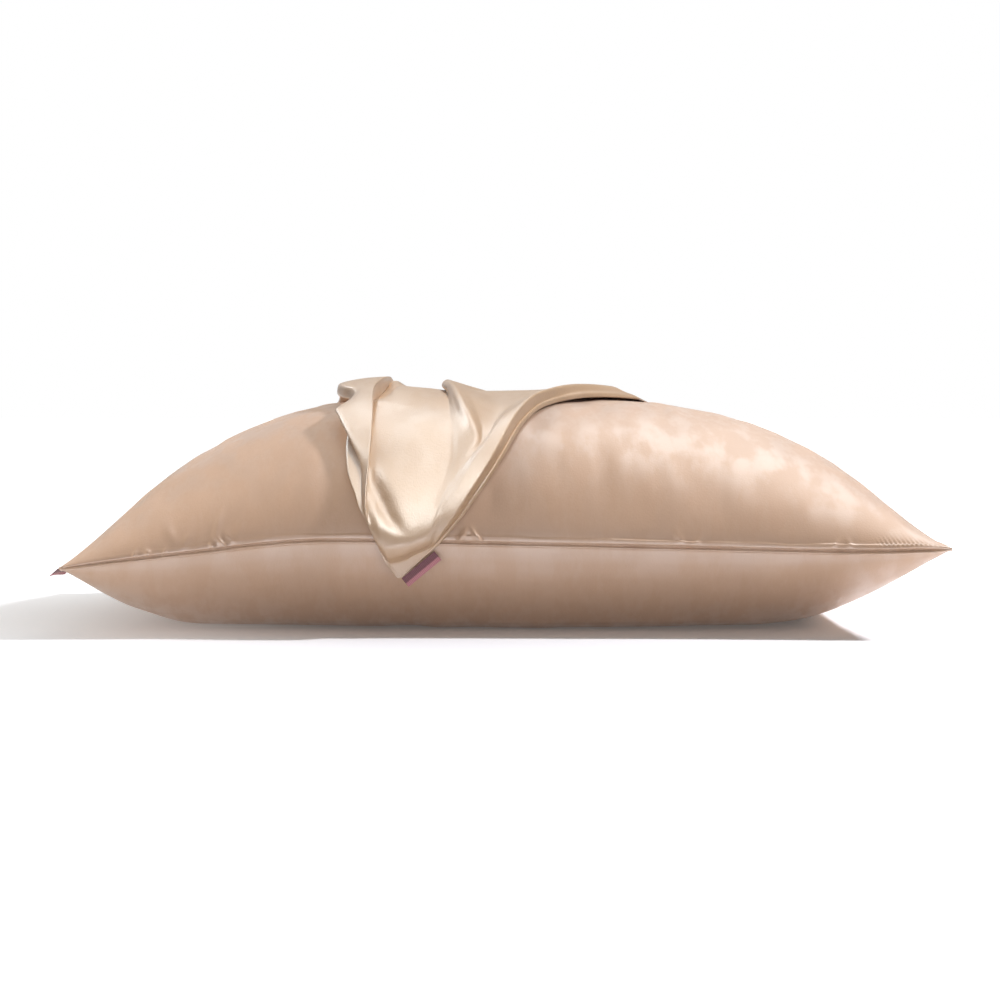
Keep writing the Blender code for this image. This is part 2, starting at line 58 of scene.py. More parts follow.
# ---- shape of the filled case
HALF_LENGTH = 0.322  # middle to a corner tip, along X
HALF_DEPTH = 0.245  # middle to a corner tip, along Y
DRAW_IN_ENDS = 0.071  # share by which the short edges pull in at their middle
DRAW_IN_SIDES = 0.09  # share by which the long edges pull in at their middle
CROWN_RISE = 0.107  # crown above the edge seam
BELLY_DROP = 0.0846  # how far an unsupported belly would hang below the seam
FLOOR_ROUNDING = 0.008  # softness of the turn from the belly to its flat underside
SEAM_STATION = (-1.0, -0.75, -0.4, 0.0, 0.45, 0.8, 1.0)
SEAM_HEIGHT = (0.0505, 0.060, 0.070, 0.0675, 0.0645, 0.0625, 0.0645)
# Power and bluntness of each panel's fall to the left and to the right edge.
TOP_POWER = (2.37, 3.07)
TOP_BLUNTNESS = (0.54, 0.685)
BELLY_POWER = (3.64, 2.55)
BELLY_BLUNTNESS = (0.54, 0.505)
# Power and bluntness of its fall to both long edges.
CROWN_SECTION = (2.3, 0.62)
BELLY_SECTION = (2.6, 0.55)
ARC_POINTS = 1201  # points of the table of distances over the crown

# ---- shape of the draped case
CREST = 268  # distance over the filled case at which the crown is reached, mm
# The fold lines, from the left edge to the right edge, in mm: place across the cloth laid flat,
# steps of the surface from there to the next line, and course over the front. A point of the
# course is its distance over the filled case from the front seam (negative where the corner
# hangs below it), X and height above the filled case.
FOLD_LINES = (
    (0, 8, (  # margin
        (-27.5, -78.6, 3.2), (-21.5, -83, 3.2), (-16, -87.4, 3.2), (-10, -90.4, 3.2), (-4, -92.6, 3.2),
        (4, -95.4, 3), (12, -99.9, 2.9), (24, -106.5, 2.6), (36, -110, 2.5), (48, -114, 2.4),
        (60, -116.6, 2.3), (94, -118.6, 2.3), (115, -117, 2.3), (140, -112, 2.3), (170, -108, 2.3),
        (215, -106, 2.3), (268, -105, 2.3))),
    (14, 8, (  # tuck
        (-27.5, -78.5, 3.2), (-20, -83.8, 3.2), (-12, -86.9, 3.3), (-4, -91.2, 3.4), (12, -99.5, 3.4),
        (24, -104, 3.1), (42, -105, 3), (70, -106, 3), (100, -108, 3), (135, -108, 3), (175, -108, 3),
        (200, -116, 3.2), (215, -121, 3.4), (268, -123, 3.4))),
    (28, 6, (  # hem
        (-27.5, -78.4, 3.2), (-20, -83.8, 3.3), (-12, -86.8, 3.5), (-4, -91.2, 4.1), (12, -99.6, 4.4),
        (24, -103.6, 4.6), (36, -104.2, 5), (50, -104.6, 6), (64, -107.2, 7.2), (78, -112, 8.2),
        (103, -120, 9.4), (124, -125.4, 10.2), (136, -127.8, 10.4), (143, -126.4, 9.8), (152, -122.6, 8.4),
        (164, -119, 6.6), (176, -117.4, 5.8), (188, -120, 6), (200, -126.5, 6.8), (214, -130.4, 7.4),
        (232, -132, 7.8), (268, -132.4, 8))),
    (38, 8, (  # roll
        (-27.5, -78.3, 3.2), (-20, -83.8, 3.4), (-12, -86.8, 3.7), (-4, -91.3, 4.7), (12, -99.8, 5.2),
        (24, -103, 5.6), (36, -103.4, 6.2), (50, -103, 7.6), (64, -104.6, 9.2), (78, -108.2, 10.2),
        (103, -115, 11.2), (124, -119.8, 11.8), (136, -121.8, 12), (152, -118.3, 11.8), (164, -115.8, 11.6),
        (176, -114.8, 12), (188, -116.6, 13.4), (200, -123, 14.2), (214, -127.6, 14.6), (232, -129.6, 14.4),
        (268, -130.2, 14))),
    (60, 9, (  # flap
        (-27.5, -78.2, 3.2), (-20, -83.2, 3.6), (-12, -86.9, 4), (-4, -91.6, 5.3), (12, -100, 5.8),
        (24, -102.4, 6.4), (36, -102.5, 7.2), (50, -102, 8.6), (64, -102.6, 10), (78, -104.4, 10.8),
        (103, -108, 11.8), (136, -111.4, 12.8), (170, -109.3, 13.6), (200, -108.5, 15.2), (230, -108.2, 16),
        (268, -108, 16.2))),
    (86, 8, (  # rim
        (-27.5, -78.1, 3.2), (-20, -83, 3.3), (-12, -87.6, 4.6), (-8, -90.2, 7.4), (-2, -93.4, 9),
        (4, -96.6, 9.4), (12, -100.2, 9.2), (24, -102.2, 9.2), (33, -102, 9.4), (48, -101, 10),
        (61, -100.2, 10.8), (84, -99.4, 11.6), (115, -99.4, 12.2), (146, -100.4, 12.8), (165, -101, 13.4),
        (178, -101, 14), (195, -99.8, 14.8), (212, -97.4, 15.6), (228, -94.8, 16.2), (245, -92.8, 16),
        (268, -91.2, 15.6))),
    (94, 7, (  # groove
        (-27.5, -78, 3.2), (-20, -82.2, 3.4), (-14, -85.8, 4), (-10, -88, 9.6), (-3, -91.8, 12),
        (4, -94.8, 11.2), (12, -98.4, 9), (24, -101.3, 6.2), (36, -101.7, 4.8), (61, -100.8, 3.7),
        (100, -100.4, 3.2), (138, -100.9, 3.4), (150, -101.2, 3.6), (165, -101.6, 4.2), (176, -101.6, 3.4),
        (190, -100.8, 3), (202, -99, 3), (213, -97.2, 3.6), (223, -96, 4.4), (236, -95, 5.4),
        (250, -93, 8), (268, -90.4, 12.4))),
    (104, 8, (  # lip
        (-27.5, -77.9, 3.2), (-20, -81.6, 3.3), (-16.5, -83.4, 3.6), (-12.5, -85.6, 10.6),
        (-6, -87.8, 14.2), (4, -90.6, 13), (14, -93.4, 10.4), (26, -95.8, 7.8), (40, -96.8, 5.6),
        (61, -97.2, 4), (100, -97.2, 3.4), (130, -97.2, 4), (150, -97, 5), (163, -96.8, 6.6),
        (174, -96.2, 6.2), (184, -94.8, 4.6), (196, -92.4, 3.8), (207, -90.4, 4), (217, -88.8, 5),
        (230, -87.4, 7), (245, -86.4, 9.6), (268, -86, 12))),
    (122, 9, (  # panel
        (-27.5, -77.75, 3.2), (-20, -79.8, 3.3), (-16, -80.2, 3.6), (-12, -80.8, 11), (-5, -81.4, 15.4),
        (4, -81.6, 13.8), (14, -82, 11.2), (26, -83.6, 8.8), (40, -85, 7.2), (61, -86, 5.8),
        (85, -86.2, 4.4), (110, -86.4, 3.6), (135, -86.4, 3.8), (160, -86.4, 6), (180, -85.8, 7),
        (196, -84.8, 8.2), (206, -84, 8.6), (218, -82.8, 8.4), (232, -81.2, 8.2), (250, -80, 8),
        (268, -79.4, 7.6))),
    (146, 10, (  # middle
        (-27.5, -77.6, 3.2), (-20, -76.8, 3.3), (-14.4, -74.6, 3.6), (-10, -72.8, 11.2), (-3, -70.2, 15.6),
        (5, -67.6, 14), (15, -65.6, 11.4), (28, -64.4, 9.2), (42, -63.8, 7.6), (62, -64.2, 6.4),
        (85, -65, 5.4), (115, -65, 4.6), (140, -65, 4.2), (170, -64, 4), (192, -63, 4.4), (215, -61, 5.2),
        (268, -58, 5))),
    (170, 8, (  # crease
        (-27.5, -77.4, 3.2), (-20, -74.2, 3.3), (-11.4, -68.8, 3.6), (-7, -66, 11), (0, -61.6, 14.4),
        (8, -57.6, 13.4), (18, -54.6, 11.4), (28, -51.8, 9.4), (38, -48.2, 8), (52, -43.8, 6.6),
        (72, -41, 5), (108, -41, 3.6), (135, -42.4, 3), (170, -43.6, 2.9), (215, -44.6, 3),
        (235, -44.4, 3), (268, -44.6, 3))),
    (178, 8, (  # wall
        (-27.5, -77.3, 3.2), (-20, -73, 3.3), (-10.2, -66.4, 3.6), (-6, -63.4, 10.4), (1, -58.4, 14),
        (9, -54, 13.4), (18, -50.4, 11.8), (28, -46.8, 10), (38, -42.8, 8.6), (52, -38.4, 7.6),
        (72, -34.8, 6.6), (108, -34.4, 5.8), (135, -37.2, 5.8), (170, -41, 6.6), (205, -44.4, 7.6),
        (225, -48, 7.6), (245, -49.6, 7.8), (268, -50, 8.4))),
    (190, 8, (  # ridge
        (-27.5, -77.2, 3.2), (-20, -72, 3.3), (-8.6, -63.2, 3.6), (-4.6, -60, 10), (2, -56, 13.4),
        (10, -52, 13.4), (20, -47.6, 12.2), (33, -42.4, 10.2), (50, -35.4, 8.4), (68, -28.4, 7.8),
        (87, -21.8, 8.8), (100, -24, 9.8), (116, -27.4, 10.2), (134, -31.4, 10.6), (160, -35.6, 11),
        (190, -39.4, 11.4), (220, -43, 11.9), (240, -45.4, 12.1), (268, -46, 12.1))),
    (202, 8, (  # flank
        (-27.5, -77.1, 3.2), (-20, -71.2, 3.3), (-7.2, -60.2, 3.6), (-3.4, -57.2, 9.6), (3, -53.8, 12.8),
        (10, -50.6, 13), (20, -46.2, 12.4), (33, -40.4, 10.8), (50, -33, 9.4), (68, -25, 7.8),
        (87, -17.6, 7), (100, -17.2, 6.6), (116, -18.8, 6.4), (134, -21, 6.4), (160, -24.6, 6.8),
        (190, -29.6, 7.8), (220, -35, 8.8), (240, -37.6, 9.6), (268, -38.6, 9.6))),
    (226, 8, (  # dip
        (-27.5, -77, 3.2), (-20, -70.6, 3.3), (-6, -58, 3.6), (-2.4, -55.4, 9.2), (4, -52, 11.6),
        (10, -49.2, 12.8), (20, -44.8, 12.6), (33, -38.2, 11.6), (50, -30.6, 10.6), (68, -22.6, 9.2),
        (87, -14.6, 7.6), (100, -11.4, 6.2), (116, -8.6, 4.6), (134, -5.6, 3.4), (160, -3.4, 2.6),
        (190, -6, 2.4), (220, -14, 2.6), (240, -19, 3), (268, -22, 3.2))),
    (258, 12, (  # slope
        (-27.5, -76.9, 3.2), (-20, -70.2, 3.3), (-5, -56.2, 3.6), (-1.4, -53.8, 8), (4, -50.4, 11),
        (10, -47.2, 12.2), (20, -41.8, 12.6), (33, -34.6, 12.4), (50, -26.4, 12.1), (68, -18.6, 11.6),
        (87, -11, 11), (100, -7.2, 10.4), (116, -3, 9.4), (134, 2.6, 7.8), (160, 9.6, 5.4), (190, 15, 3.4),
        (220, 17.4, 3.6), (268, 20, 4.6))),
    (302, 7, (  # shoulder
        (-27.5, -76.9, 3.2), (-21, -71, 3.3), (-4.6, -54.6, 3.6), (-0.6, -51.4, 8.2), (4, -47.8, 10.4),
        (10, -42.8, 11.8), (20, -34.8, 12.4), (33, -26.4, 12.4), (47, -18.2, 12.4), (60, -11.6, 12.4),
        (75, -5.4, 12.4), (89, -0.5, 12.4), (104, 4, 12.4), (118, 8.2, 12.4), (132, 13, 12.4),
        (146, 17.4, 12.2), (160, 22, 12), (171, 26.6, 11.8), (190, 37, 11.6), (220, 52.8, 11.6),
        (245, 68, 11.2), (268, 84, 10.4))),
    (311, 5, (  # fall
        (-27.5, -76.8, 3.2), (-21, -70.6, 3.2), (-12.5, -62, 3.2), (-4, -53.4, 3.3), (4, -45.9, 3.7),
        (9, -41.8, 3.8), (20, -32.8, 3.9), (33, -24.4, 3.9), (47, -16.2, 3.9), (60, -9.6, 3.9),
        (75, -3.4, 3.9), (89, 1.5, 3.9), (104, 6, 3.9), (118, 10.2, 3.9), (132, 15, 3.9), (146, 19.6, 4),
        (160, 24.8, 4.2), (171, 30, 4.5), (190, 41, 5), (205, 49.4, 5.6), (220, 58.8, 6.2), (245, 77, 6.4),
        (268, 96.4, 6.4))),
    (317, 5, (  # welt
        (-27.5, -76.7, 3.2), (-21, -70.3, 3.3), (-12.5, -61.2, 3.3), (-4, -52.2, 3.7), (4, -44.6, 4.4),
        (9, -40.5, 4.7), (20, -31.7, 4.6), (33, -23.3, 4.6), (47, -15.1, 4.6), (60, -8.5, 4.6),
        (75, -2.3, 4.6), (89, 2.6, 4.6), (104, 7.1, 4.6), (118, 11.3, 4.6), (132, 16.1, 4.6),
        (146, 20.9, 4.7), (160, 26.7, 4.7), (171, 32.4, 4.8), (190, 44.2, 5), (205, 53.5, 5.2),
        (220, 63.6, 5.1), (245, 83, 4.8), (268, 104.4, 4.2))),
    (322, 0, (  # edge
        (-27.5, -76.6, 3.2), (-21, -70, 3.2), (-12.5, -60.6, 3.2), (-4, -51, 3.2), (4, -43, 3),
        (9, -38.8, 2.9), (20, -30.2, 2.7), (33, -21.8, 2.6), (47, -13.6, 2.5), (60, -7, 2.5),
        (75, -0.8, 2.4), (89, 4.1, 2.3), (104, 8.6, 2.3), (118, 12.8, 2.3), (132, 17.6, 2.3),
        (146, 22.6, 2.3), (160, 28.4, 2.3), (171, 34.2, 2.3), (190, 46, 2.3), (205, 55.4, 2.3),
        (220, 65.8, 2.3), (245, 86, 2.3), (268, 108, 2.3))),
)
# The soft valley that crosses the lower panel, in mm.
VALLEY = (
    # distance X depth half_width
    (2, -76, 0, 5),
    (10, -82, 2.2, 6),
    (18, -87, 3.2, 6.5),
    (28, -91, 4, 7),
    (38, -94.5, 3.4, 7),
    (50, -98, 1.6, 6),
    (60, -99.5, 0, 4),
)
VALLEY_FROM = 90  # the valley fades in from this place across the cloth, mm ...
VALLEY_FADE = 12  # ... over this width
BACK_RISE = 2.3  # height of the cloth above the filled case down the back, mm
SEAM_RISE = 1.8  # what it clears the back seam by on top of that
SEAM_REACH = 26  # over this distance to both sides of the seam
BACK_SHARE = 0.8  # most of the cloth behind the crown that lies before the back seam
SPLAY_CENTRE = -12  # the cloth spreads away from this X behind the crown
SPLAY = 1.2  # share by which it has spread where it reaches the back seam
SPLAY_DELAY = 1.7  # power of the distance behind the crown with which it spreads
FADE_END = 150  # distance behind the crown by which the front folds have died out
GATHER_START = 60  # where the soft gathers that replace them begin to rise
GATHER_END = 200  # where they are at their full height
GATHERS = (
    # place height half_width
    (17, 20, 16),
    (54, 31, 22),
    (95, 21, 18),
    (137, 32, 23),
    (179, 24, 18),
    (216, 29, 19),
    (262, 34, 25),
    (308, 22, 20),
)
# How far over the filled case the cloth reaches at the back, by place across it, in mm.
HEM_PLACE = (0, 70, 140, 200, 260, 322)
HEM_REACH = (500, 565, 655, 715, 670, 580)
FLOOR_BEND = 26  # radius at which the hanging cloth turns onto the surface, mm
EDGE_MARGIN = 1e-4  # the slope is taken no closer to a seam than this, in metres
TINY_STEP = 1e-3  # step over which it is taken

# ---- labels
LABEL_LENGTH = 0.032
LABEL_WIDTH = 0.008
LABEL_GAP = 0.0006  # between a label and its seam
LABEL_GRID = (69, 21)  # points along it and across it
WAVE_TURN = 1.3 * math.pi  # how much of a wave its free edge follows, and where that starts
WAVE_START = 0.4
DRAPED_LABEL_START = 0.001  # from the hanging corner, along the edge
DRAPED_LABEL_DROOP = 0.0016
DRAPED_LABEL_OUT = (1.0, 0.0, -1.0)
FILLED_LABEL_START = -0.995  # as a share of the short edge, whose front corner is at -1
FILLED_LABEL_TILT = math.radians(42)
FILLED_LABEL_OUT = (-math.cos(FILLED_LABEL_TILT), 0.0, -math.sin(FILLED_LABEL_TILT))


# ---- curves and noise
def even_curve(knots, values, at):
    """A smooth curve through the values that never swings past them (monotone cubic)."""
    knots = np.asarray(knots, float)
    values = np.asarray(values, float)
    at = np.clip(np.asarray(at, float), knots[0], knots[-1])
    steps = np.diff(knots)
    slopes = np.diff(values, axis=0) / steps.reshape((-1,) + (1,) * (values.ndim - 1))
    tangents = np.zeros_like(values)
    before, after = slopes[:-1], slopes[1:]
    same_way = before * after > 0
    total = np.where(same_way, before + after, 1.0)
    tangents[1:-1] = np.where(same_way, 2 * before * after / total, 0.0)
    tangents[0], tangents[-1] = slopes[0], slopes[-1]
    left = np.clip(np.searchsorted(knots, at, side="right") - 1, 0, len(steps) - 1)
    width = steps[left]
    t = (at - knots[left]) / width
    if values.ndim > 1:
        width, t = width[:, None], t[:, None]
    start = (2 * t**3 - 3 * t**2 + 1) * values[left] + (t**3 - 2 * t**2 + t) * width * tangents[left]
    end = (3 * t**2 - 2 * t**3) * values[left + 1] + (t**3 - t**2) * width * tangents[left + 1]
    return start + end


def soft_step(share):
    """Rises smoothly from 0 to 1 as the share does."""
    share = np.clip(share, 0, 1)
    return share**2 * (3 - 2 * share)


def ripple(x, y, cell, seed):
    """Smooth unevenness from -1 to 1 over a plane, in cells of the given width and length."""
    lattice = np.random.default_rng(seed).uniform(-1, 1, (64, 64))
    column, row = np.broadcast_arrays(x / cell[0], y / cell[1])
    left, below = np.floor(column).astype(int), np.floor(row).astype(int)
    across, up = column - left, row - below
    across = across**3 * (across * (6 * across - 15) + 10)
    up = up**3 * (up * (6 * up - 15) + 10)
    low = lattice[left % 64, below % 64] * (1 - across) + lattice[(left + 1) % 64, below % 64] * across
    high_left, high_right = lattice[left % 64, (below + 1) % 64], lattice[(left + 1) % 64, (below + 1) % 64]
    high = high_left * (1 - across) + high_right * across
    return low * (1 - up) + high * up


def bump(distance, half_width):
    """A soft rounded ridge about 0."""
    return np.exp(-((distance / half_width) ** 2))


# ---- meshes
def mesh_from_arrays(name, points, faces, places):
    """Object from points, quads and the flat cloth place of each point, in metres."""
    mesh = bpy.data.meshes.new(name)
    faces = np.asarray(faces, np.int32)
    mesh.vertices.add(len(points))
    mesh.vertices.foreach_set("co", np.asarray(points, np.float32).ravel())
    mesh.loops.add(faces.size)
    mesh.loops.foreach_set("vertex_index", faces.ravel())
    mesh.polygons.add(len(faces))
    mesh.polygons.foreach_set("loop_start", np.arange(0, faces.size, faces.shape[1], dtype=np.int32))
    mesh.update(calc_edges=True)
    mesh.validate()
    layer = mesh.uv_layers.new(name="cloth")
    layer.data.foreach_set("uv", np.asarray(places, np.float32)[faces.ravel()].ravel())
    mesh.shade_smooth()
    item = bpy.data.objects.new(name, mesh)
    bpy.context.scene.collection.objects.link(item)
    return item


def quads(index):
    """Quads between the neighbours of a grid of point numbers."""
    corners = [index[:-1, :-1], index[:-1, 1:], index[1:, 1:], index[1:, :-1]]
    return np.stack(corners, axis=-1).reshape(-1, 4)


def unit(vectors):
    length = np.linalg.norm(vectors, axis=-1, keepdims=True)
    return vectors / np.maximum(length, 1e-12)


def sheet_solid(name, grid, thickness, places):
    """Closed solid of even thickness about a grid of points."""
    rows, columns = grid.shape[:2]
    below = rows * columns
    normal = unit(np.cross(np.gradient(grid, axis=1), np.gradient(grid, axis=0)))
    outer = (grid + normal * thickness / 2).reshape(-1, 3)
    inner = (grid - normal * thickness / 2).reshape(-1, 3)
    index = np.arange(below).reshape(rows, columns)
    face = quads(index)
    border = np.concatenate([index[0, :-1], index[:-1, -1], index[-1, :0:-1], index[:0:-1, 0]])
    after = np.roll(border, -1)
    rim = np.stack([after, border, below + border, below + after], axis=-1)
    faces = np.concatenate([face, below + face[:, ::-1], rim])
    places = np.concatenate([places.reshape(-1, 2)] * 2)
    return mesh_from_arrays(name, np.concatenate([outer, inner]), faces, places)


# ---- filled case
def end_fullness(u, power, bluntness):
    """Share of the full height at u, falling to nothing at both short edges."""
    power = np.where(u < 0, power[0], power[1])
    bluntness = np.where(u < 0, bluntness[0], bluntness[1])
    return np.clip(1 - np.abs(u) ** power, 0, 1) ** bluntness


def side_fullness(v, section):
    power, bluntness = section
    return np.clip(1 - np.abs(v) ** power, 0, 1) ** bluntness


def outline(u, v):
    """X and Y of a point of the case: straight corners, edges drawn in between them."""
    x = HALF_LENGTH * u * (1 - DRAW_IN_ENDS * (1 - v**2) * u**2)
    y = HALF_DEPTH * v * (1 - DRAW_IN_SIDES * (1 - u**2) * v**2)
    return x, y


def seam_height(u):
    return even_curve(SEAM_STATION, SEAM_HEIGHT, u.ravel()).reshape(u.shape)


def upper_surface(u, v):
    u, v = np.broadcast_arrays(np.asarray(u, float), np.asarray(v, float))
    x, y = outline(u, v)
    fullness = end_fullness(u, TOP_POWER, TOP_BLUNTNESS) * side_fullness(v, CROWN_SECTION)
    return np.stack([x, y, seam_height(u) + CROWN_RISE * fullness], axis=-1)


def lower_surface(u, v):
    x, y = outline(u, v)
    fullness = end_fullness(u, BELLY_POWER, BELLY_BLUNTNESS) * side_fullness(v, BELLY_SECTION)
    hanging = seam_height(u) - BELLY_DROP * fullness
    rounded = (hanging + FLOOR_ROUNDING) ** 2 / (4 * FLOOR_ROUNDING)
    resting = np.where(hanging < -FLOOR_ROUNDING, 0, rounded)
    return np.stack([x, y, np.where(hanging > FLOOR_ROUNDING, hanging, resting)], axis=-1)


def middle_arc():
    """Distance over the crown, from the front seam to the back one, as a table against v."""
    v = np.sin(np.linspace(-math.pi / 2, math.pi / 2, ARC_POINTS))
    section = upper_surface(np.zeros_like(v), v)
    lengths = np.linalg.norm(np.diff(section, axis=0), axis=1)
    return v, np.concatenate([[0.0], np.cumsum(lengths)])


ARC_V, ARC_LENGTH = middle_arc()
FULL_ARC = ARC_LENGTH[-1]

# Rows of points by distance from a long seam (mm), close together beside it.
FRONT_SEAM_ROWS = (
    0, 0.4, 0.8, 1.2, 1.7, 2.2, 2.8, 3.4, 4, 4.5, 5, 5.5, 6.2, 7, 8, 9.3, 11, 13, 15.3, 18, 21, 24.5, 28.5,
)
BACK_SEAM_ROWS = (0, 0.9, 1.8, 3.1, 4.3, 5.6, 7, 9.3, 13, 18, 24.5, 28.5)
CROWN_ROWS = 66  # rows over the crown, between the close ones of both seams
COLUMN_BANDS = (
    # from to columns, along X in mm
    (-322, -318, 8),
    (-318, -310, 8),
    (-310, -185, 104),
    (-185, -45, 44),
    (-45, -8, 34),
    (-8, 55, 20),
    (55, 155, 68),
    (155, 215, 20),
    (215, 262, 34),
    (262, 316, 64),
    (316, 322, 10),
)

# Small creases that stand on the front seam, in mm but the lean (X per mm up).
SEAM_CREASES = (
    # x up half_width reach_up lean height
    (-268, 2.2, 1.3, 4, 0.3, 1.5),
    (-258, 2.4, 2.2, 3.5, -0.4, 1.95),
    (-247, 2, 1.4, 3, 0.5, 1.2),
    (-243, 17, 3.2, 9, -0.4, 1.35),
    (-231, 9, 3, 6, 0.3, 1.05),
    (-212, 2.6, 1.2, 3.5, -0.5, 1.65),
    (-205, 3.4, 1.4, 5, -0.75, 2.4),
    (-200, 8, 1.2, 4, -0.75, 1.2),
    (-209, 18, 2.8, 12, 0.1, 1.35),
    (-193, 12, 3, 8, 0.1, 0.75),
    (-176, 2.5, 1.6, 3, 0.3, 0.75),
    (78, 3, 1.6, 4, -0.3, 0.75),
    (127, 6, 2.2, 5, -0.5, 1.05),
    (139, 4, 1.8, 4, 0.4, 0.9),
    (238, 4.5, 1.6, 3.5, 0.5, 1.2),
    (249, 5, 1.8, 4, -0.4, 0.9),
)

# The pinched pleat beside the drape's corner: a ridge that curves down to the seam, soft on its
# left and sharp on its right, with a softer branch to the left (mm).
PLEAT_X = -25.5  # its upper end
PLEAT_UP = 13.5  # how far it reaches up the panel
PLEAT_LEAN = 9.0  # how far its foot lies to the right of its upper end
PLEAT_BEND = 1.6  # power with which it leans
PLEAT_HEIGHT = 2.6
PLEAT_SOFT = (0.875, 3.5)  # half width of its soft side at the upper end, and growth to the foot
PLEAT_SHARP = 1.2
PLEAT_GROWTH = 1.5  # the more, the sooner it has risen to its full height
PLEAT_END = 1.5  # it fades out this close to the seam
BRANCH_LEAN = -8.0  # the same of its branch, which leans to the left
BRANCH_BEND = 0.8
BRANCH_HEIGHT = 1.82
BRANCH_HALF_WIDTH = 2.2

# Height of the ledge that the seam allowance presses through the upper panel, along X (mm).
LEDGE_X = (-322, -150, -120, -20, 60, 76, 95, 115, 135, 142, 225, 235, 252, 262, 300, 322)
LEDGE_HEIGHT = (0.2, 0.3, 0.4, 0.5, 0.6, 1.3, 1.5, 2.0, 1.7, 0.7, 0.7, 1.6, 1.1, 0.7, 1.6, 0.4)
LEDGE_PLACE = 4.6  # distance of the ledge from the seam, mm
LEDGE_STEP = 1.1  # width of its fall to the panel
LEDGE_RISE = 1.6  # width of its rise from the seam
LEDGE_UNEVEN = 0.35  # share by which its height varies
LEDGE_WANDER = 0.7  # how far its place wanders
UNDER_LEDGE_X = (-322, -200, -60, 60, 225, 240, 300, 322)
UNDER_LEDGE_HEIGHT = (0.9, 1.5, 1.3, 1.2, 1.4, 2.0, 1.6, 0.4)
UNDER_LEDGE_PLACE = 2.4
FURROW_DEPTH = 1.7
FURROW_HALF_WIDTH = 0.8
TIP_PLEATS_FROM = 262  # the fine pleats beside the right tip begin here, along X
TIP_PLEATS_FADE = 14
TIP_PLEATS_UP = 6  # middle of them up the panel, and their half width about it
TIP_PLEATS_CLEAR = 3  # they fade out this close to the edge
TIP_PLEATS_LEAN = 0.5
TIP_PLEATS_APART = 3.2
TIP_PLEATS_HEIGHT = 0.42
# Cell (mm) and seed of the ledges' unevenness, then height, cell and seed of the panels' ripples.
LEDGE_HEIGHT_CELLS = ((11, 60), 3)
LEDGE_PLACE_CELLS = ((26, 900), 4)
UNDER_LEDGE_CELLS = ((9, 60), 5)
UPPER_RIPPLES = ((0.9, (30, 60), 11), (0.55, (12, 36), 12))
LOWER_RIPPLES = ((0.9, (24, 120), 13),)
UPPER_RIPPLES_FROM = (6, 40)  # distance from the edge at which they begin, and width of the fade
LOWER_RIPPLES_FROM = (4, 25)
SEAM_TUCK = 1.2  # the edge is pulled in by this
ON_SEAM = 0.01  # a point closer to the edge than this lies on the seam
FLAT_HALF_LENGTH = 0.33  # of the case laid flat, in metres


def seam_rows():
    """Values of v at which the filled case has a row of points."""
    front = np.array(FRONT_SEAM_ROWS)
    back = FULL_ARC / MM - np.array(BACK_SEAM_ROWS)[::-1]
    crown = np.linspace(front[-1], back[0], CROWN_ROWS + 1)[1:-1]
    rows = np.interp(np.concatenate([front, crown, back]) * MM, ARC_LENGTH, ARC_V)
    rows[0], rows[-1] = -1.0, 1.0
    return rows


def banded(bands):
    """Places in bands of (from, to, count), each band evenly filled."""
    parts = [np.linspace(start, end, count, endpoint=False) for start, end, count in bands]
    return np.append(np.concatenate(parts), bands[-1][1])


def distance_across(points, axis):
    """Distance over a panel from its first row or column of points, in mm."""
    lengths = np.linalg.norm(np.diff(points, axis=axis), axis=-1)
    start = np.zeros_like(lengths.take([0], axis=axis))
    return np.concatenate([start, np.cumsum(lengths, axis=axis)], axis=axis) / MM


def seam_relief(edge, ledge_height, ledge_place):
    """Furrow along the seam and the ledge of the allowance beside it, in mm."""
    furrow = -FURROW_DEPTH * bump(edge, FURROW_HALF_WIDTH)
    top = 1 - soft_step((edge - ledge_place) / LEDGE_STEP + 0.5)
    return furrow + ledge_height * top * soft_step(edge / LEDGE_RISE)


def pleat_relief(x, front):
    """The pinched pleat, in mm: it grows from its upper end and stops short of the seam."""
    down = np.clip((PLEAT_UP - front) / PLEAT_UP, 0, 1)
    across = x - PLEAT_X - PLEAT_LEAN * down**PLEAT_BEND
    soft = PLEAT_SOFT[0] + PLEAT_SOFT[1] * down
    side = bump(across, np.where(across < 0, soft, PLEAT_SHARP))
    branch = bump(x - PLEAT_X - BRANCH_LEAN * down**BRANCH_BEND, BRANCH_HALF_WIDTH)
    fade = soft_step(down * PLEAT_GROWTH) * soft_step(front / PLEAT_END)
    return (PLEAT_HEIGHT * side + BRANCH_HEIGHT * branch) * fade


def unevenness(x, front, edge, ripples, begin):
    """Soft ripples of a panel away from its edges, in mm."""
    away = soft_step((edge - begin[0]) / begin[1])
    return sum(away * height * ripple(x, front, cell, seed) for height, cell, seed in ripples)


def upper_relief(x, front, edge):
    """How far the upper panel stands out from its plain shape, in mm."""
    uneven = 1 + LEDGE_UNEVEN * ripple(x, front, *LEDGE_HEIGHT_CELLS)
    place = LEDGE_PLACE + LEDGE_WANDER * ripple(x, front, *LEDGE_PLACE_CELLS)
    relief = seam_relief(edge, np.interp(x, LEDGE_X, LEDGE_HEIGHT) * uneven, place)
    for crease_x, up, half, reach, lean, height in SEAM_CREASES:
        across = x - crease_x - lean * (front - up)
        relief += height * bump(across, half) * bump(front - up, reach)
    relief += pleat_relief(x, front)
    relief += unevenness(x, front, edge, UPPER_RIPPLES, UPPER_RIPPLES_FROM)
    tip = soft_step((x - TIP_PLEATS_FROM) / TIP_PLEATS_FADE) * soft_step(edge / TIP_PLEATS_CLEAR)
    tip *= bump(front - TIP_PLEATS_UP, TIP_PLEATS_UP) * TIP_PLEATS_HEIGHT
    return relief + tip * np.sin((x + TIP_PLEATS_LEAN * front) * 2 * math.pi / TIP_PLEATS_APART)


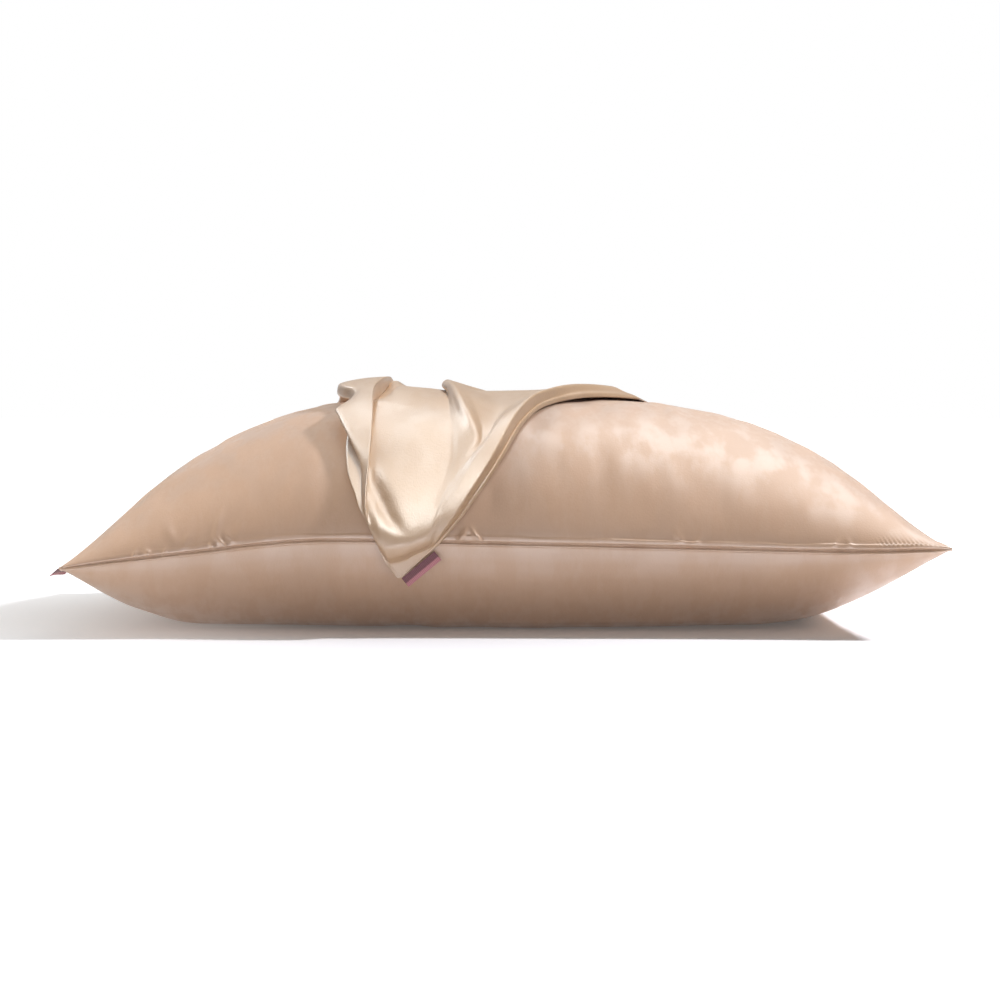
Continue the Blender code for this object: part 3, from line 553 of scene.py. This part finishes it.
def lower_relief(x, front, edge):
    """The same for the lower panel."""
    uneven = 1 + LEDGE_UNEVEN * ripple(x, front, *UNDER_LEDGE_CELLS)
    ledge_height = np.interp(x, UNDER_LEDGE_X, UNDER_LEDGE_HEIGHT) * uneven
    relief = seam_relief(edge, ledge_height, UNDER_LEDGE_PLACE)
    return relief + unevenness(x, front, edge, LOWER_RIPPLES, LOWER_RIPPLES_FROM)


def relieved_panel(surface, relief, outward, u, v):
    """Points of a panel, moved out along its own normal by its relief."""
    plain = surface(u, v)
    front, left = distance_across(plain, 1), distance_across(plain, 0)
    long_edge = np.minimum(front, front[:, -1:] - front)
    short_edge = np.minimum(left, left[-1:] - left)
    edge = np.minimum(long_edge, short_edge)
    raised = relief(plain[..., 0] / MM, front, edge)[..., None] * MM
    normal = unit(np.cross(np.gradient(plain, axis=0), np.gradient(plain, axis=1))) * outward
    return np.where((edge > ON_SEAM)[..., None], plain + normal * raised, plain)


def filled_case_mesh():
    """Upper and lower panel in one closed mesh that shares its seam points."""
    u, v = np.meshgrid(banded(COLUMN_BANDS) * MM / HALF_LENGTH, seam_rows(), indexing="ij")
    upper = relieved_panel(upper_surface, upper_relief, 1, u, v)
    lower = relieved_panel(lower_surface, lower_relief, -1, u, v)
    seam = ((np.abs(u) == 1) | (np.abs(v) == 1))[..., None]
    inward = np.stack([-u * (np.abs(u) == 1), -v * (np.abs(v) == 1), 0 * u], axis=-1)
    tucked = upper + unit(inward) * SEAM_TUCK * MM
    upper, lower = np.where(seam, tucked, upper), np.where(seam, tucked, lower)
    lower[..., 2] = np.maximum(lower[..., 2], 0.0)

    rows, columns = u.shape
    index = np.arange(rows * columns).reshape(rows, columns)
    inner = (slice(1, -1), slice(1, -1))
    under = index.copy()
    under[inner] = rows * columns + np.arange((rows - 2) * (columns - 2)).reshape(rows - 2, -1)
    places = np.stack([u * FLAT_HALF_LENGTH, np.interp(v, ARC_V, ARC_LENGTH)], axis=-1)
    points = np.concatenate([upper.reshape(-1, 3), lower[inner].reshape(-1, 3)])
    places = np.concatenate([places.reshape(-1, 2), places[inner].reshape(-1, 2)])
    faces = np.concatenate([quads(index.T), quads(under)])
    return mesh_from_arrays("filled_pillowcase", points, faces, places)


# ---- draped case
FRONT_ROWS = (
    # from to rows
    (-27.5, 20, 42),
    (20, 150, 62),
    (150, 235, 60),
    (235, 268, 15),
)
ROWS_BACK = 60
ROWS_PAST_SEAM = 34


def past_the_seam(distance, drop):
    """Cloth past a seam that is a drop above the surface: it hangs, bends outwards and lies.

    Returns how far out it has come, how far down, and its tilt from hanging to lying.
    """
    bend = FLOOR_BEND * MM
    hanging = np.minimum(distance, drop - bend)
    tilt = np.clip((distance - hanging) / bend, 0, math.pi / 2)
    lying = np.maximum(distance - hanging - bend * math.pi / 2, 0)
    return bend * (1 - np.cos(tilt)) + lying, hanging + bend * np.sin(tilt), tilt


def over_filled_case(x, along, rise):
    """Point at X, at a distance over the filled case from its front seam, a rise above it."""
    x, along, rise = np.broadcast_arrays(x, along, rise)
    on_case = np.clip(along, EDGE_MARGIN, FULL_ARC - EDGE_MARGIN)
    u = x / HALF_LENGTH
    v = np.interp(on_case, ARC_LENGTH, ARC_V)
    v_before = np.interp(np.clip(on_case - TINY_STEP, 0, FULL_ARC), ARC_LENGTH, ARC_V)
    v_after = np.interp(np.clip(on_case + TINY_STEP, 0, FULL_ARC), ARC_LENGTH, ARC_V)
    along_x = upper_surface(u + TINY_STEP, v) - upper_surface(u - TINY_STEP, v)
    along_y = upper_surface(u, v_after) - upper_surface(u, v_before)
    normal = unit(np.cross(along_x, along_y))
    point = upper_surface(u, v)
    out, down, tilt = past_the_seam(np.abs(along - on_case), point[..., 2])
    point[..., 1] += np.sign(v) * out
    point[..., 2] -= down
    up = np.array([0.0, 0.0, 1.0])
    normal = normal * np.cos(tilt)[..., None] + up * np.sin(tilt)[..., None]
    return point + normal * rise[..., None]


def fold_courses(front):
    """X and height of every fold line at the given distances over the front, one column each."""
    courses = []
    for _, _, knots in FOLD_LINES:
        along, x, rise = np.array(knots, float).T
        courses.append((even_curve(along, x, front), even_curve(along, rise, front)))
    return np.moveaxis(np.array(courses), 0, -1)


def cloth_places():
    """Places across the flat cloth at which the surface has a line of points."""
    bands = [(line[0], after[0], line[1]) for line, after in zip(FOLD_LINES, FOLD_LINES[1:])]
    return banded(bands)


def front_of_drape(places):
    """X and height of the cloth over the front, and the distance of each row (mm)."""
    lines = [line[0] for line in FOLD_LINES]
    front = banded(FRONT_ROWS)
    x_lines, rise_lines = fold_courses(front)
    x = even_curve(lines, x_lines.T, places).T
    rise = even_curve(lines, rise_lines.T, places).T
    along, valley_x, depth, half_width = np.array(VALLEY).T
    from_valley = x - np.interp(front, along, valley_x)[:, None]
    width = np.interp(front, along, half_width)[:, None]
    dent = np.interp(front, along, depth)[:, None] * bump(from_valley, width)
    return x, rise - dent * soft_step((places - VALLEY_FROM) / VALLEY_FADE), front


def drape_grid():
    """Middle surface of the draped case and the flat place of each of its points, in metres."""
    places = cloth_places()
    x_front, rise_front, front = front_of_drape(places)
    rows = [over_filled_case(x_front * MM, front[:, None] * MM, rise_front * MM)]
    distances = list(np.broadcast_to(front[:, None], x_front.shape))

    reach = even_curve(HEM_PLACE, HEM_REACH, places)
    crest_x, crest_rise = x_front[-1], rise_front[-1]
    even_x = crest_x.min() + (crest_x.max() - crest_x.min()) * places / places[-1]
    gathers = np.zeros_like(places)
    for place, height, half_width in GATHERS:
        gathers += height * (1 - soft_step(np.abs(places - place) / half_width))
    back_seam = FULL_ARC / MM
    seam_stop = np.minimum(back_seam, CREST + BACK_SHARE * (reach - CREST))
    down_back = np.sin(np.linspace(0, math.pi / 2, ROWS_BACK + 1))[1:]
    past_seam = np.linspace(0, 1, ROWS_PAST_SEAM + 1)[1:]
    alongs = [CREST + (seam_stop - CREST) * part for part in down_back]
    alongs += [seam_stop + (reach - seam_stop) * part for part in past_seam]
    for along in alongs:
        behind = along - CREST
        settled = soft_step(behind / FADE_END)
        x = crest_x + (even_x - crest_x) * settled
        spread = 1 + SPLAY * (behind / (back_seam - CREST)) ** SPLAY_DELAY
        x = SPLAY_CENTRE + (x - SPLAY_CENTRE) * spread
        height = BACK_RISE + (crest_rise - BACK_RISE) * (1 - settled)
        height += gathers * soft_step((behind - GATHER_START) / (GATHER_END - GATHER_START))
        height += SEAM_RISE * (1 - soft_step(np.abs(along - back_seam) / SEAM_REACH))
        rows.append(over_filled_case(x * MM, along * MM, height * MM)[None])
        distances.append(along)
    grid = np.concatenate(rows)
    flat = np.stack([np.broadcast_to(places, grid.shape[:2]), np.array(distances)], axis=-1)
    return grid, flat * MM


# ---- labels
def ribbon_mesh(name, seam, outward, thickness, wave):
    """Blank ribbon along a stretch of seam points, reaching out from the seam."""
    run = unit(seam[-1] - seam[0])
    outward = np.asarray(outward, float)
    outward = unit(outward - run * (outward @ run))
    face = np.cross(run, outward)
    bulge = max((point - seam[0]) @ outward for point in seam)
    steps = [np.linspace(0, 1, count) for count in LABEL_GRID]
    along, out = np.meshgrid(*steps, indexing="ij")
    start = seam[0] + outward * (bulge + LABEL_GAP)
    length = np.linalg.norm(seam[-1] - seam[0])
    places = np.stack([along * length, out * LABEL_WIDTH], axis=-1)
    curl = wave * np.sin(along * WAVE_TURN + WAVE_START) * out**2
    grid = start + run * places[..., :1] + outward * places[..., 1:] + face * curl[..., None]
    return sheet_solid(name, grid, thickness, places)


def filled_label_seam():
    v = np.linspace(FILLED_LABEL_START, LABEL_LENGTH / HALF_DEPTH + FILLED_LABEL_START, 7)
    return upper_surface(-1.0, v)


def draped_label_seam():
    edge = drape_grid()[0][:, -1]
    steps = np.linalg.norm(np.diff(edge, axis=0), axis=1)
    distance = np.concatenate([[0], np.cumsum(steps)])
    stretch = np.linspace(DRAPED_LABEL_START, DRAPED_LABEL_START + LABEL_LENGTH, 9)
    seam = np.stack([np.interp(stretch, distance, edge[:, axis]) for axis in range(3)], axis=-1)
    seam[:, 2] -= DRAPED_LABEL_DROOP * np.linspace(0, 1, len(stretch))
    return seam


# ---- materials
CLOUD_SCALE = 22.0  # soft unevenness of tone and roughness, per metre
PATCH_SCALE = 62.0  # patches that catch more light
PATCH_STRETCH = (1.0, 0.4, 0.4)
PATCH_EDGE = (0.38, 0.62)  # noise between which a patch grows to its full gloss
FLOAT_SCALE = 900.0  # the weave's floats, and the yarns that cross them
FLOAT_STRETCH = (1.0, 0.45, 1.0)
YARN_SCALE = 600.0
YARN_STRETCH = (0.5, 1.0, 1.0)
SEAM_PULL = (0.007, 0.015)  # distance from the front seam over which the pull on it fades
WEAVE_DEPTH = 0.0003
RIB_SCALE = 260.0  # the ribbon's ribs, and its threads
THREAD_SCALE = 2400.0
THREAD_STRETCH = (1.0, 0.3, 1.0)
BAND_EDGE = (0.0046, 0.0056)  # where the ribbon's darker band ends, across it
BAND_RAGGED = 0.0006


class Wire:
    """A node's output that arithmetic can be written on; each operator adds a Math node."""

    def __init__(self, finish, socket):
        self.finish = finish
        self.socket = socket

    def math(self, operation, first, second):
        return self.finish.node("ShaderNodeMath", {"operation": operation}, {0: first, 1: second})

    def __add__(self, other):
        return self.math("ADD", self, other)

    def __sub__(self, other):
        return self.math("SUBTRACT", self, other)

    def __rsub__(self, other):
        return self.math("SUBTRACT", other, self)

    def __mul__(self, other):
        return self.math("MULTIPLY", self, other)

    __radd__ = __add__
    __rmul__ = __mul__


class Finish:
    """A material or world being built: adds nodes, sets them and joins their sockets."""

    def __init__(self, owner):
        self.owner = owner
        owner.use_nodes = True
        self.tree = owner.node_tree

    def node(self, kind, settings=None, inputs=None, output=0):
        """Adds a node, sets its settings, then its sockets, and returns one of its outputs."""
        made = self.tree.nodes.new(kind)
        for name, value in (settings or {}).items():
            setattr(made, name, value)
        for key, value in (inputs or {}).items():
            self.join(made.inputs[key], value)
        return Wire(self, made.outputs[output])

    def join(self, socket, value):
        if isinstance(value, Wire):
            self.tree.links.new(value.socket, socket)
        else:
            socket.default_value = value

    def set_shader(self, **values):
        """Sets sockets of the main shader, by name with _ for a space; returns the material."""
        shader = self.tree.nodes["Principled BSDF"]
        for name, value in values.items():
            self.join(shader.inputs[name.replace("_", " ")], value)
        return self.owner

    def blend(self, share, first, second):
        """Colour between two colours."""
        inputs = {0: share, 6: opaque(first), 7: opaque(second)}
        return self.node("ShaderNodeMix", {"data_type": "RGBA"}, inputs, output=2)

    def eased(self, value, start, end, low=0.0, high=1.0):
        """Goes smoothly from low to high as the value goes from start to end."""
        inputs = {"Value": value, 1: start, 2: end, 3: low, 4: high}
        return self.node("ShaderNodeMapRange", {"interpolation_type": "SMOOTHSTEP"}, inputs)

    def noise(self, vector, scale, detail, roughness=0.5):
        inputs = {"Vector": vector, "Scale": scale, "Detail": detail, "Roughness": roughness}
        return self.node("ShaderNodeTexNoise", {}, inputs)

    def stretched(self, vector, scale):
        return self.node("ShaderNodeMapping", {}, {"Vector": vector, "Scale": scale})

    def relief(self, strength, height):
        """Normal of a surface with the height on it."""
        inputs = {"Strength": strength, "Distance": WEAVE_DEPTH, "Height": height}
        return self.node("ShaderNodeBump", {}, inputs)


def opaque(colour):
    """The colour with full alpha; a wire is left as it is."""
    return colour if isinstance(colour, Wire) else (*colour[:3], 1.0)


def satin_finish(name, settings):
    """Satin: a fine close weave whose floats catch the light in small uneven glints."""
    finish = Finish(bpy.data.materials.new(name))
    cloth = finish.node("ShaderNodeUVMap", {"uv_map": "cloth"})
    place = finish.node("ShaderNodeTexCoord", output="Object")
    from_seam = finish.node("ShaderNodeSeparateXYZ", {}, {"Vector": cloth}, output=1)
    clouds = finish.noise(place, CLOUD_SCALE, 3.0)
    patches = finish.noise(finish.stretched(place, PATCH_STRETCH), PATCH_SCALE, 3.0, 0.6)
    grain = finish.noise(finish.stretched(cloth, FLOAT_STRETCH), FLOAT_SCALE, 1.0)
    fine = finish.noise(finish.stretched(cloth, YARN_STRETCH), YARN_SCALE, 1.0)
    tone = clouds * 0.5 + grain * 0.35 + 0.08
    pulled = finish.eased(from_seam, *SEAM_PULL, settings.seam_gloss, 0.0)
    shining = finish.eased(patches, *PATCH_EDGE, 0.0, settings.patchiness)
    return finish.set_shader(
        Base_Color=finish.blend(tone, settings.shade_colour, settings.colour),
        Roughness=clouds * 0.12 + (settings.roughness - 0.06) - pulled * 0.4,
        Metallic=0.08,
        Normal=finish.relief(settings.grain, grain * 0.6 + fine * 0.4),
        Specular_IOR_Level=0.8,
        IOR=settings.density,
        Sheen_Weight=0.1,
        Sheen_Roughness=0.45,
        Coat_Weight=shining + settings.gloss + pulled,
        Coat_Roughness=0.35,
        Coat_IOR=1.8,
    )


def ribbon_finish(name, settings):
    """Woven ribbon: ribs across its width, a darker band beside the seam, no lettering."""
    finish = Finish(bpy.data.materials.new(name))
    cloth = finish.node("ShaderNodeUVMap", {"uv_map": "cloth"})
    across = finish.node("ShaderNodeSeparateXYZ", {}, {"Vector": cloth}, output=1)
    wave = {"Vector": cloth, "Scale": RIB_SCALE, "Distortion": 0.6, "Detail": 1.0}
    ribs = finish.node("ShaderNodeTexWave", {"bands_direction": "X"}, wave, output=1)
    threads = finish.noise(finish.stretched(cloth, THREAD_STRETCH), THREAD_SCALE, 1.0)
    band = finish.eased(across + threads * BAND_RAGGED, *BAND_EDGE, 1.0, 0.0)
    plain = finish.blend(ribs * 0.5 + threads * 0.5, settings.shade_colour, settings.colour)
    return finish.set_shader(
        Base_Color=finish.blend(band * 0.8, plain, settings.band_colour),
        Roughness=0.6,
        Normal=finish.relief(0.6, ribs * 0.7 + threads * 0.3),
        Sheen_Weight=0.15,
    )


def glowing_white(finish, shade, glow):
    """Matt surface that glows, and is seen as paper white."""
    return finish.set_shader(
        Base_Color=(shade, shade, shade, 1.0),
        Roughness=1.0,
        Specular_IOR_Level=0.0,
        Emission_Color=glow,
        Emission_Strength=1.0,
    )


def floor_glow(finish):
    """Glow of the floor: faint under the cases, full where nothing stands."""
    place = finish.node("ShaderNodeTexCoord", output="Object")
    inputs = {0: place, 1: FLOOR_GLOW_CENTRE}
    distance = finish.node("ShaderNodeVectorMath", {"operation": "DISTANCE"}, inputs, output="Value")
    return finish.blend(finish.eased(distance, *FLOOR_GLOW_REACH), FLOOR_GLOW_NEAR, WHITE)


# ---- stage
WHITE = (1.0, 1.0, 1.0)
SOFT_WHITE = (1.0, 0.98, 0.95)
COOL_WHITE = (0.93, 0.93, 1.0)
CARD_WHITE = (0.88, 0.96, 1.0)
FLOOR_HALF = 30.0  # middle of the floor to its edge
FLOOR_DROP = 0.0004  # floor below the cases
FLOOR_GLOW_CENTRE = (0.12, 0.0, 0.0)
FLOOR_GLOW_REACH = (0.25, 0.85)  # distances from there between which the glow grows to full
FLOOR_GLOW_NEAR = (0.06, 0.06, 0.06)
BACKDROP_RADIUS = 20.0
ROOM_BEHIND = (-0.4, 0.7)  # the room brightens towards the back over this part of Y
ROOM_DIM = (0.30, 0.28, 0.27)
CAMERA_TILT = math.radians(2.0)
CAMERA_AIM = (-0.004, 0.0, 0.0912)
SENSOR_WIDTH = 36.0
MIDDLE = (0.0, 0.0, 0.1)  # what most lights face
FILLED = ("filled_pillowcase",)
DRAPED = ("draped_pillowcase",)
# A "matt" light gives no gloss, a "card" gives nothing but gloss. A light with pieces shines on
# them alone, and the others still cast its shadows.
LIGHTS = (
    # name, power, place, target, size, colour, kind, pieces
    ("overhead", "overhead_power", (0.5, 0.3, 1.5), MIDDLE, (1.6, 0.8), SOFT_WHITE, "full", ()),
    ("key light", "key_power", (1.49, 0.05, 1.29), (-0.12, -0.15, 0.12), (0.15, 0.15), COOL_WHITE,
     "matt", (*FILLED, "floor", "filled_case_ribbon")),
    ("drape key", "drape_key_power", (0.35, 0.0, 1.8), (-0.1, -0.1, 0.13), (0.3, 0.3), SOFT_WHITE,
     "matt", (*DRAPED, "draped_case_ribbon")),
    ("left light", "left_power", (-1.4, -0.1, 1.05), (-0.15, 0.0, 0.1), (0.5, 0.5), SOFT_WHITE,
     "matt", FILLED),
    ("low front light", "front_power", (0.0, -1.7, 0.05), MIDDLE, (2.0, 0.3), COOL_WHITE, "full", ()),
    ("sheen card", "sheen_power", (0.6, 0.55, 1.35), MIDDLE, (1.4, 1.2), CARD_WHITE, "card", FILLED),
    ("drape card", "card_power", (0.05, 0.0, 1.45), MIDDLE, (1.0, 0.5), CARD_WHITE, "card", DRAPED),
    ("front drape card", "front_card_power", (0.2, -0.8, 1.2), MIDDLE, (1.2, 0.6), CARD_WHITE,
     "card", DRAPED),
    ("rear drape card", "rear_card_power", (-0.15, 0.75, 1.15), MIDDLE, (0.6, 0.5), CARD_WHITE,
     "card", DRAPED),
    ("left drape card", "left_card_power", (-0.8, 0.6, 1.1), MIDDLE, (0.5, 0.5), CARD_WHITE,
     "card", DRAPED),
    ("flap card", "flap_card_power", (-0.65, -0.2, 1.3), MIDDLE, (0.5, 0.5), CARD_WHITE,
     "card", DRAPED),
)


def area_light(name, power, place, target, size, colour, kind, pieces):
    """Soft rectangular light at a place, facing a target."""
    data = bpy.data.lights.new(name, "AREA")
    data.shape = "RECTANGLE"
    data.size, data.size_y = size
    data.energy = power
    data.color = colour
    light = bpy.data.objects.new(name, data)
    direction = Vector(target) - Vector(place)
    light.rotation_euler = direction.to_track_quat("-Z", "Y").to_euler()
    light.location = place
    light.visible_glossy = kind != "matt"
    light.visible_diffuse = kind != "card"
    bpy.context.scene.collection.objects.link(light)
    if pieces:
        lit = bpy.data.collections.new("lit by the " + name)
        for piece in pieces:
            lit.objects.link(bpy.data.objects[piece])
        light.light_linking.receiver_collection = lit


def build_floor():
    half = FLOOR_HALF
    corners = ((0, 0), (1, 0), (1, 1), (0, 1))
    points = [((2 * x - 1) * half, (2 * y - 1) * half, -FLOOR_DROP) for x, y in corners]
    floor = mesh_from_arrays("floor", points, [(0, 1, 2, 3)], corners)
    finish = Finish(bpy.data.materials.new("stage white"))
    floor.data.materials.append(glowing_white(finish, 0.9, floor_glow(finish)))
    return floor


def build_backdrop():
    bpy.ops.mesh.primitive_uv_sphere_add(segments=64, ring_count=32, radius=BACKDROP_RADIUS)
    backdrop = bpy.context.object
    backdrop.name = "backdrop"
    finish = Finish(bpy.data.materials.new("backdrop white"))
    backdrop.data.materials.append(glowing_white(finish, 0.0, opaque(WHITE)))
    for rays in ("diffuse", "glossy", "transmission", "shadow"):
        setattr(backdrop, "visible_" + rays, False)
    return backdrop


def build_room(scene, strength):
    """The room's own light, brighter behind the cases."""
    world = bpy.data.worlds.new("room")
    scene.world = world
    room = Finish(world)
    direction = room.node("ShaderNodeTexCoord", output="Generated")
    backward = room.node("ShaderNodeSeparateXYZ", {}, {"Vector": direction}, output="Y")
    background = world.node_tree.nodes["Background"]
    glow = room.blend(room.eased(backward, *ROOM_BEHIND), ROOM_DIM, WHITE)
    room.join(background.inputs["Color"], glow)
    room.join(background.inputs["Strength"], strength)


def build_camera(scene, distance, lens):
    data = bpy.data.cameras.new("camera")
    data.lens = lens
    data.sensor_width = SENSOR_WIDTH
    camera = bpy.data.objects.new("camera", data)
    back = np.array((0.0, -math.cos(CAMERA_TILT), math.sin(CAMERA_TILT)))
    camera.location = np.array(CAMERA_AIM) + distance * back
    camera.rotation_euler = (math.pi / 2 - CAMERA_TILT, 0.0, 0.0)
    scene.collection.objects.link(camera)
    scene.camera = camera


# ---- settings
def colour_property(name, description, default):
    return FloatVectorProperty(
        name=name, description=description, subtype="COLOR", size=3, min=0.0, max=1.0, default=default
    )


def power_property(name, description, default):
    return FloatProperty(name=name, description=description, default=default, min=0.0, unit="POWER")


def share_property(name, description, default):
    return FloatProperty(name=name, description=description, default=default, min=0, max=1)


def refraction_property(default):
    text = "Refractive index of the fibre"
    return FloatProperty(name="Refraction", description=text, default=default, min=1)


def length_property(name, description, default):
    return FloatProperty(
        name=name, description=description, default=default, unit="LENGTH", precision=4
    )


class SatinSettings(bpy.types.PropertyGroup):
    colour: colour_property("Colour", "Colour of the satin's floats", (0.55, 0.365, 0.245))
    shade_colour: colour_property("Shade colour", "Colour between the floats", (0.455, 0.29, 0.187))
    roughness: share_property("Roughness", "How soft the shine is", 0.52)
    density: refraction_property(1.6)
    gloss: share_property("Gloss", "Second, sharper shine over the first", 0.05)
    patchiness: share_property("Patchiness", "Extra gloss in soft patches", 0.6)
    seam_gloss: share_property("Seam gloss", "Extra gloss where the front seam pulls it tight", 0.4)
    grain: share_property("Grain", "Height of the weave's grain", 0.45)


class PaleSatinSettings(bpy.types.PropertyGroup):
    colour: colour_property("Colour", "Colour of the pale satin's floats", (0.55, 0.352, 0.195))
    shade_colour: colour_property("Shade colour", "Colour between the floats", (0.38, 0.225, 0.115))
    roughness: share_property("Roughness", "How soft the shine is", 0.4)
    density: refraction_property(1.8)
    gloss: share_property("Gloss", "Second, sharper shine over the first", 0.3)
    patchiness: share_property("Patchiness", "Extra gloss in soft patches", 0.25)
    seam_gloss: share_property("Seam gloss", "Extra gloss at its hanging corner", 0.0)
    grain: share_property("Grain", "Height of the weave's grain", 0.9)


class LabelSettings(bpy.types.PropertyGroup):
    colour: colour_property("Colour", "Colour of the ribbon", (0.55, 0.24, 0.26))
    shade_colour: colour_property("Shade colour", "Colour between its ribs", (0.36, 0.13, 0.15))
    band_colour: colour_property("Band colour", "Colour beside the seam", (0.10, 0.035, 0.045))
    thickness: length_property("Thickness", "Thickness of the ribbon", 0.0006)
    wave: length_property("Wave", "How far its free edge bends", 0.0006)


class DrapeSettings(bpy.types.PropertyGroup):
    thickness: length_property("Thickness", "Both layers of the empty case together", 0.001)


class StageSettings(bpy.types.PropertyGroup):
    overhead_power: power_property("Overhead light", "Power of the large soft light", 3.0)
    key_power: power_property("Key light", "Power of the light that casts the shadow", 43.0)
    drape_key_power: power_property("Drape key", "Power of the light above the draped case", 30.0)
    left_power: power_property("Left light", "Power of the light on the left", 26.0)
    front_power: power_property("Low front light", "Power of the strip before the cases", 8.5)
    sheen_power: power_property("Sheen card", "Power of the shine on the right", 12.5)
    card_power: power_property("Drape card", "Power of the shine on the draped case", 5.0)
    front_card_power: power_property("Front drape card", "Power of the shine on its lower half", 16.0)
    rear_card_power: power_property("Rear drape card", "Power of the shine on its upper half", 2.5)
    left_card_power: power_property("Left drape card", "Power of the shine on its left roll", 5.5)
    flap_card_power: power_property("Flap card", "Power of the shine on its left flap", 4.5)
    ambient: share_property("Room light", "Brightness of the room's own light", 0.42)
    camera_distance: length_property("Camera distance", "From the camera to its target", 2.4)
    lens: FloatProperty(name="Lens", description="Focal length of the camera, in mm", default=107.95)


# ---- operators
class PILLOWCASE_OT_filled_case(bpy.types.Operator):
    """Builds the filled pillowcase with its seam, ledges and soft unevenness"""

    bl_idname = "pillowcase.filled_case"
    bl_label = "Filled case"

    def execute(self, context):
        item = filled_case_mesh()
        item.data.materials.append(satin_finish("warm satin", context.scene.satin))
        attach(item, "root")
        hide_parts("filled_case")
        return {"FINISHED"}


class PILLOWCASE_OT_draped_case(bpy.types.Operator):
    """Builds the empty pillowcase that hangs over the filled one"""

    bl_idname = "pillowcase.draped_case"
    bl_label = "Draped case"

    def execute(self, context):
        grid, places = drape_grid()
        item = sheet_solid("draped_pillowcase", grid, context.scene.drape.thickness, places)
        item.data.materials.append(satin_finish("pale satin", context.scene.pale_satin))
        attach(item, "root")
        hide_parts("draped_case")
        return {"FINISHED"}


class PILLOWCASE_OT_labels(bpy.types.Operator):
    bl_idname = "pillowcase.labels"
    bl_label = "Ribbon labels"

    def execute(self, context):
        settings = context.scene.labels
        finish = ribbon_finish("label ribbon", settings)
        for name, node, seam, outward in (
            ("filled_case_ribbon", "filled_case_label", filled_label_seam(), FILLED_LABEL_OUT),
            ("draped_case_ribbon", "draped_case_label", draped_label_seam(), DRAPED_LABEL_OUT),
        ):
            item = ribbon_mesh(name, seam, outward, settings.thickness, settings.wave)
            item.data.materials.append(finish)
            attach(item, "root")
            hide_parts(node)
        return {"FINISHED"}


class PILLOWCASE_OT_stage(bpy.types.Operator):
    """Builds the floor, the backdrop, the lights and the camera"""

    bl_idname = "pillowcase.stage"
    bl_label = "Stage"

    def execute(self, context):
        scene = context.scene
        settings = scene.stage
        scene.view_settings.view_transform = "Standard"
        floor, backdrop = build_floor(), build_backdrop()
        build_room(scene, settings.ambient)
        for name, power, *rest in LIGHTS:
            area_light(name, getattr(settings, power), *rest)
        build_camera(scene, settings.camera_distance, settings.lens)
        return {"FINISHED"}


BUILD_ORDER = (
    # operator, settings listed under it
    ("pillowcase.filled_case", ("satin",)),
    ("pillowcase.draped_case", ("pale_satin", "drape")),
    ("pillowcase.labels", ("labels",)),
    ("pillowcase.stage", ("stage",)),
)


class VIEW3D_PT_pillowcase(bpy.types.Panel):
    """Lists the pieces and their settings"""

    bl_label = "Pillowcase"
    bl_space_type = "VIEW_3D"
    bl_region_type = "UI"
    bl_category = "Pillowcase"

    def draw(self, context):
        for operator, groups in BUILD_ORDER:
            self.layout.operator(operator)
            for group in groups:
                settings = getattr(context.scene, group)
                for name in settings.bl_rna.properties.keys():
                    if name not in ("rna_type", "name"):
                        self.layout.prop(settings, name)


SETTINGS = {
    "satin": SatinSettings,
    "pale_satin": PaleSatinSettings,
    "drape": DrapeSettings,
    "labels": LabelSettings,
    "stage": StageSettings,
}
CLASSES = (
    *SETTINGS.values(),
    PILLOWCASE_OT_filled_case,
    PILLOWCASE_OT_draped_case,
    PILLOWCASE_OT_labels,
    PILLOWCASE_OT_stage,
    VIEW3D_PT_pillowcase,
)


def register():
    for each in CLASSES:
        bpy.utils.register_class(each)
    for name, group in SETTINGS.items():
        setattr(bpy.types.Scene, name, PointerProperty(type=group))


def unregister():
    for name in SETTINGS:
        delattr(bpy.types.Scene, name)
    for each in reversed(CLASSES):
        bpy.utils.unregister_class(each)


def main():
    register()
    for operator, _ in BUILD_ORDER:
        module, name = operator.split(".")
        getattr(getattr(bpy.ops, module), name)()


if __name__ == "__main__":
    main()
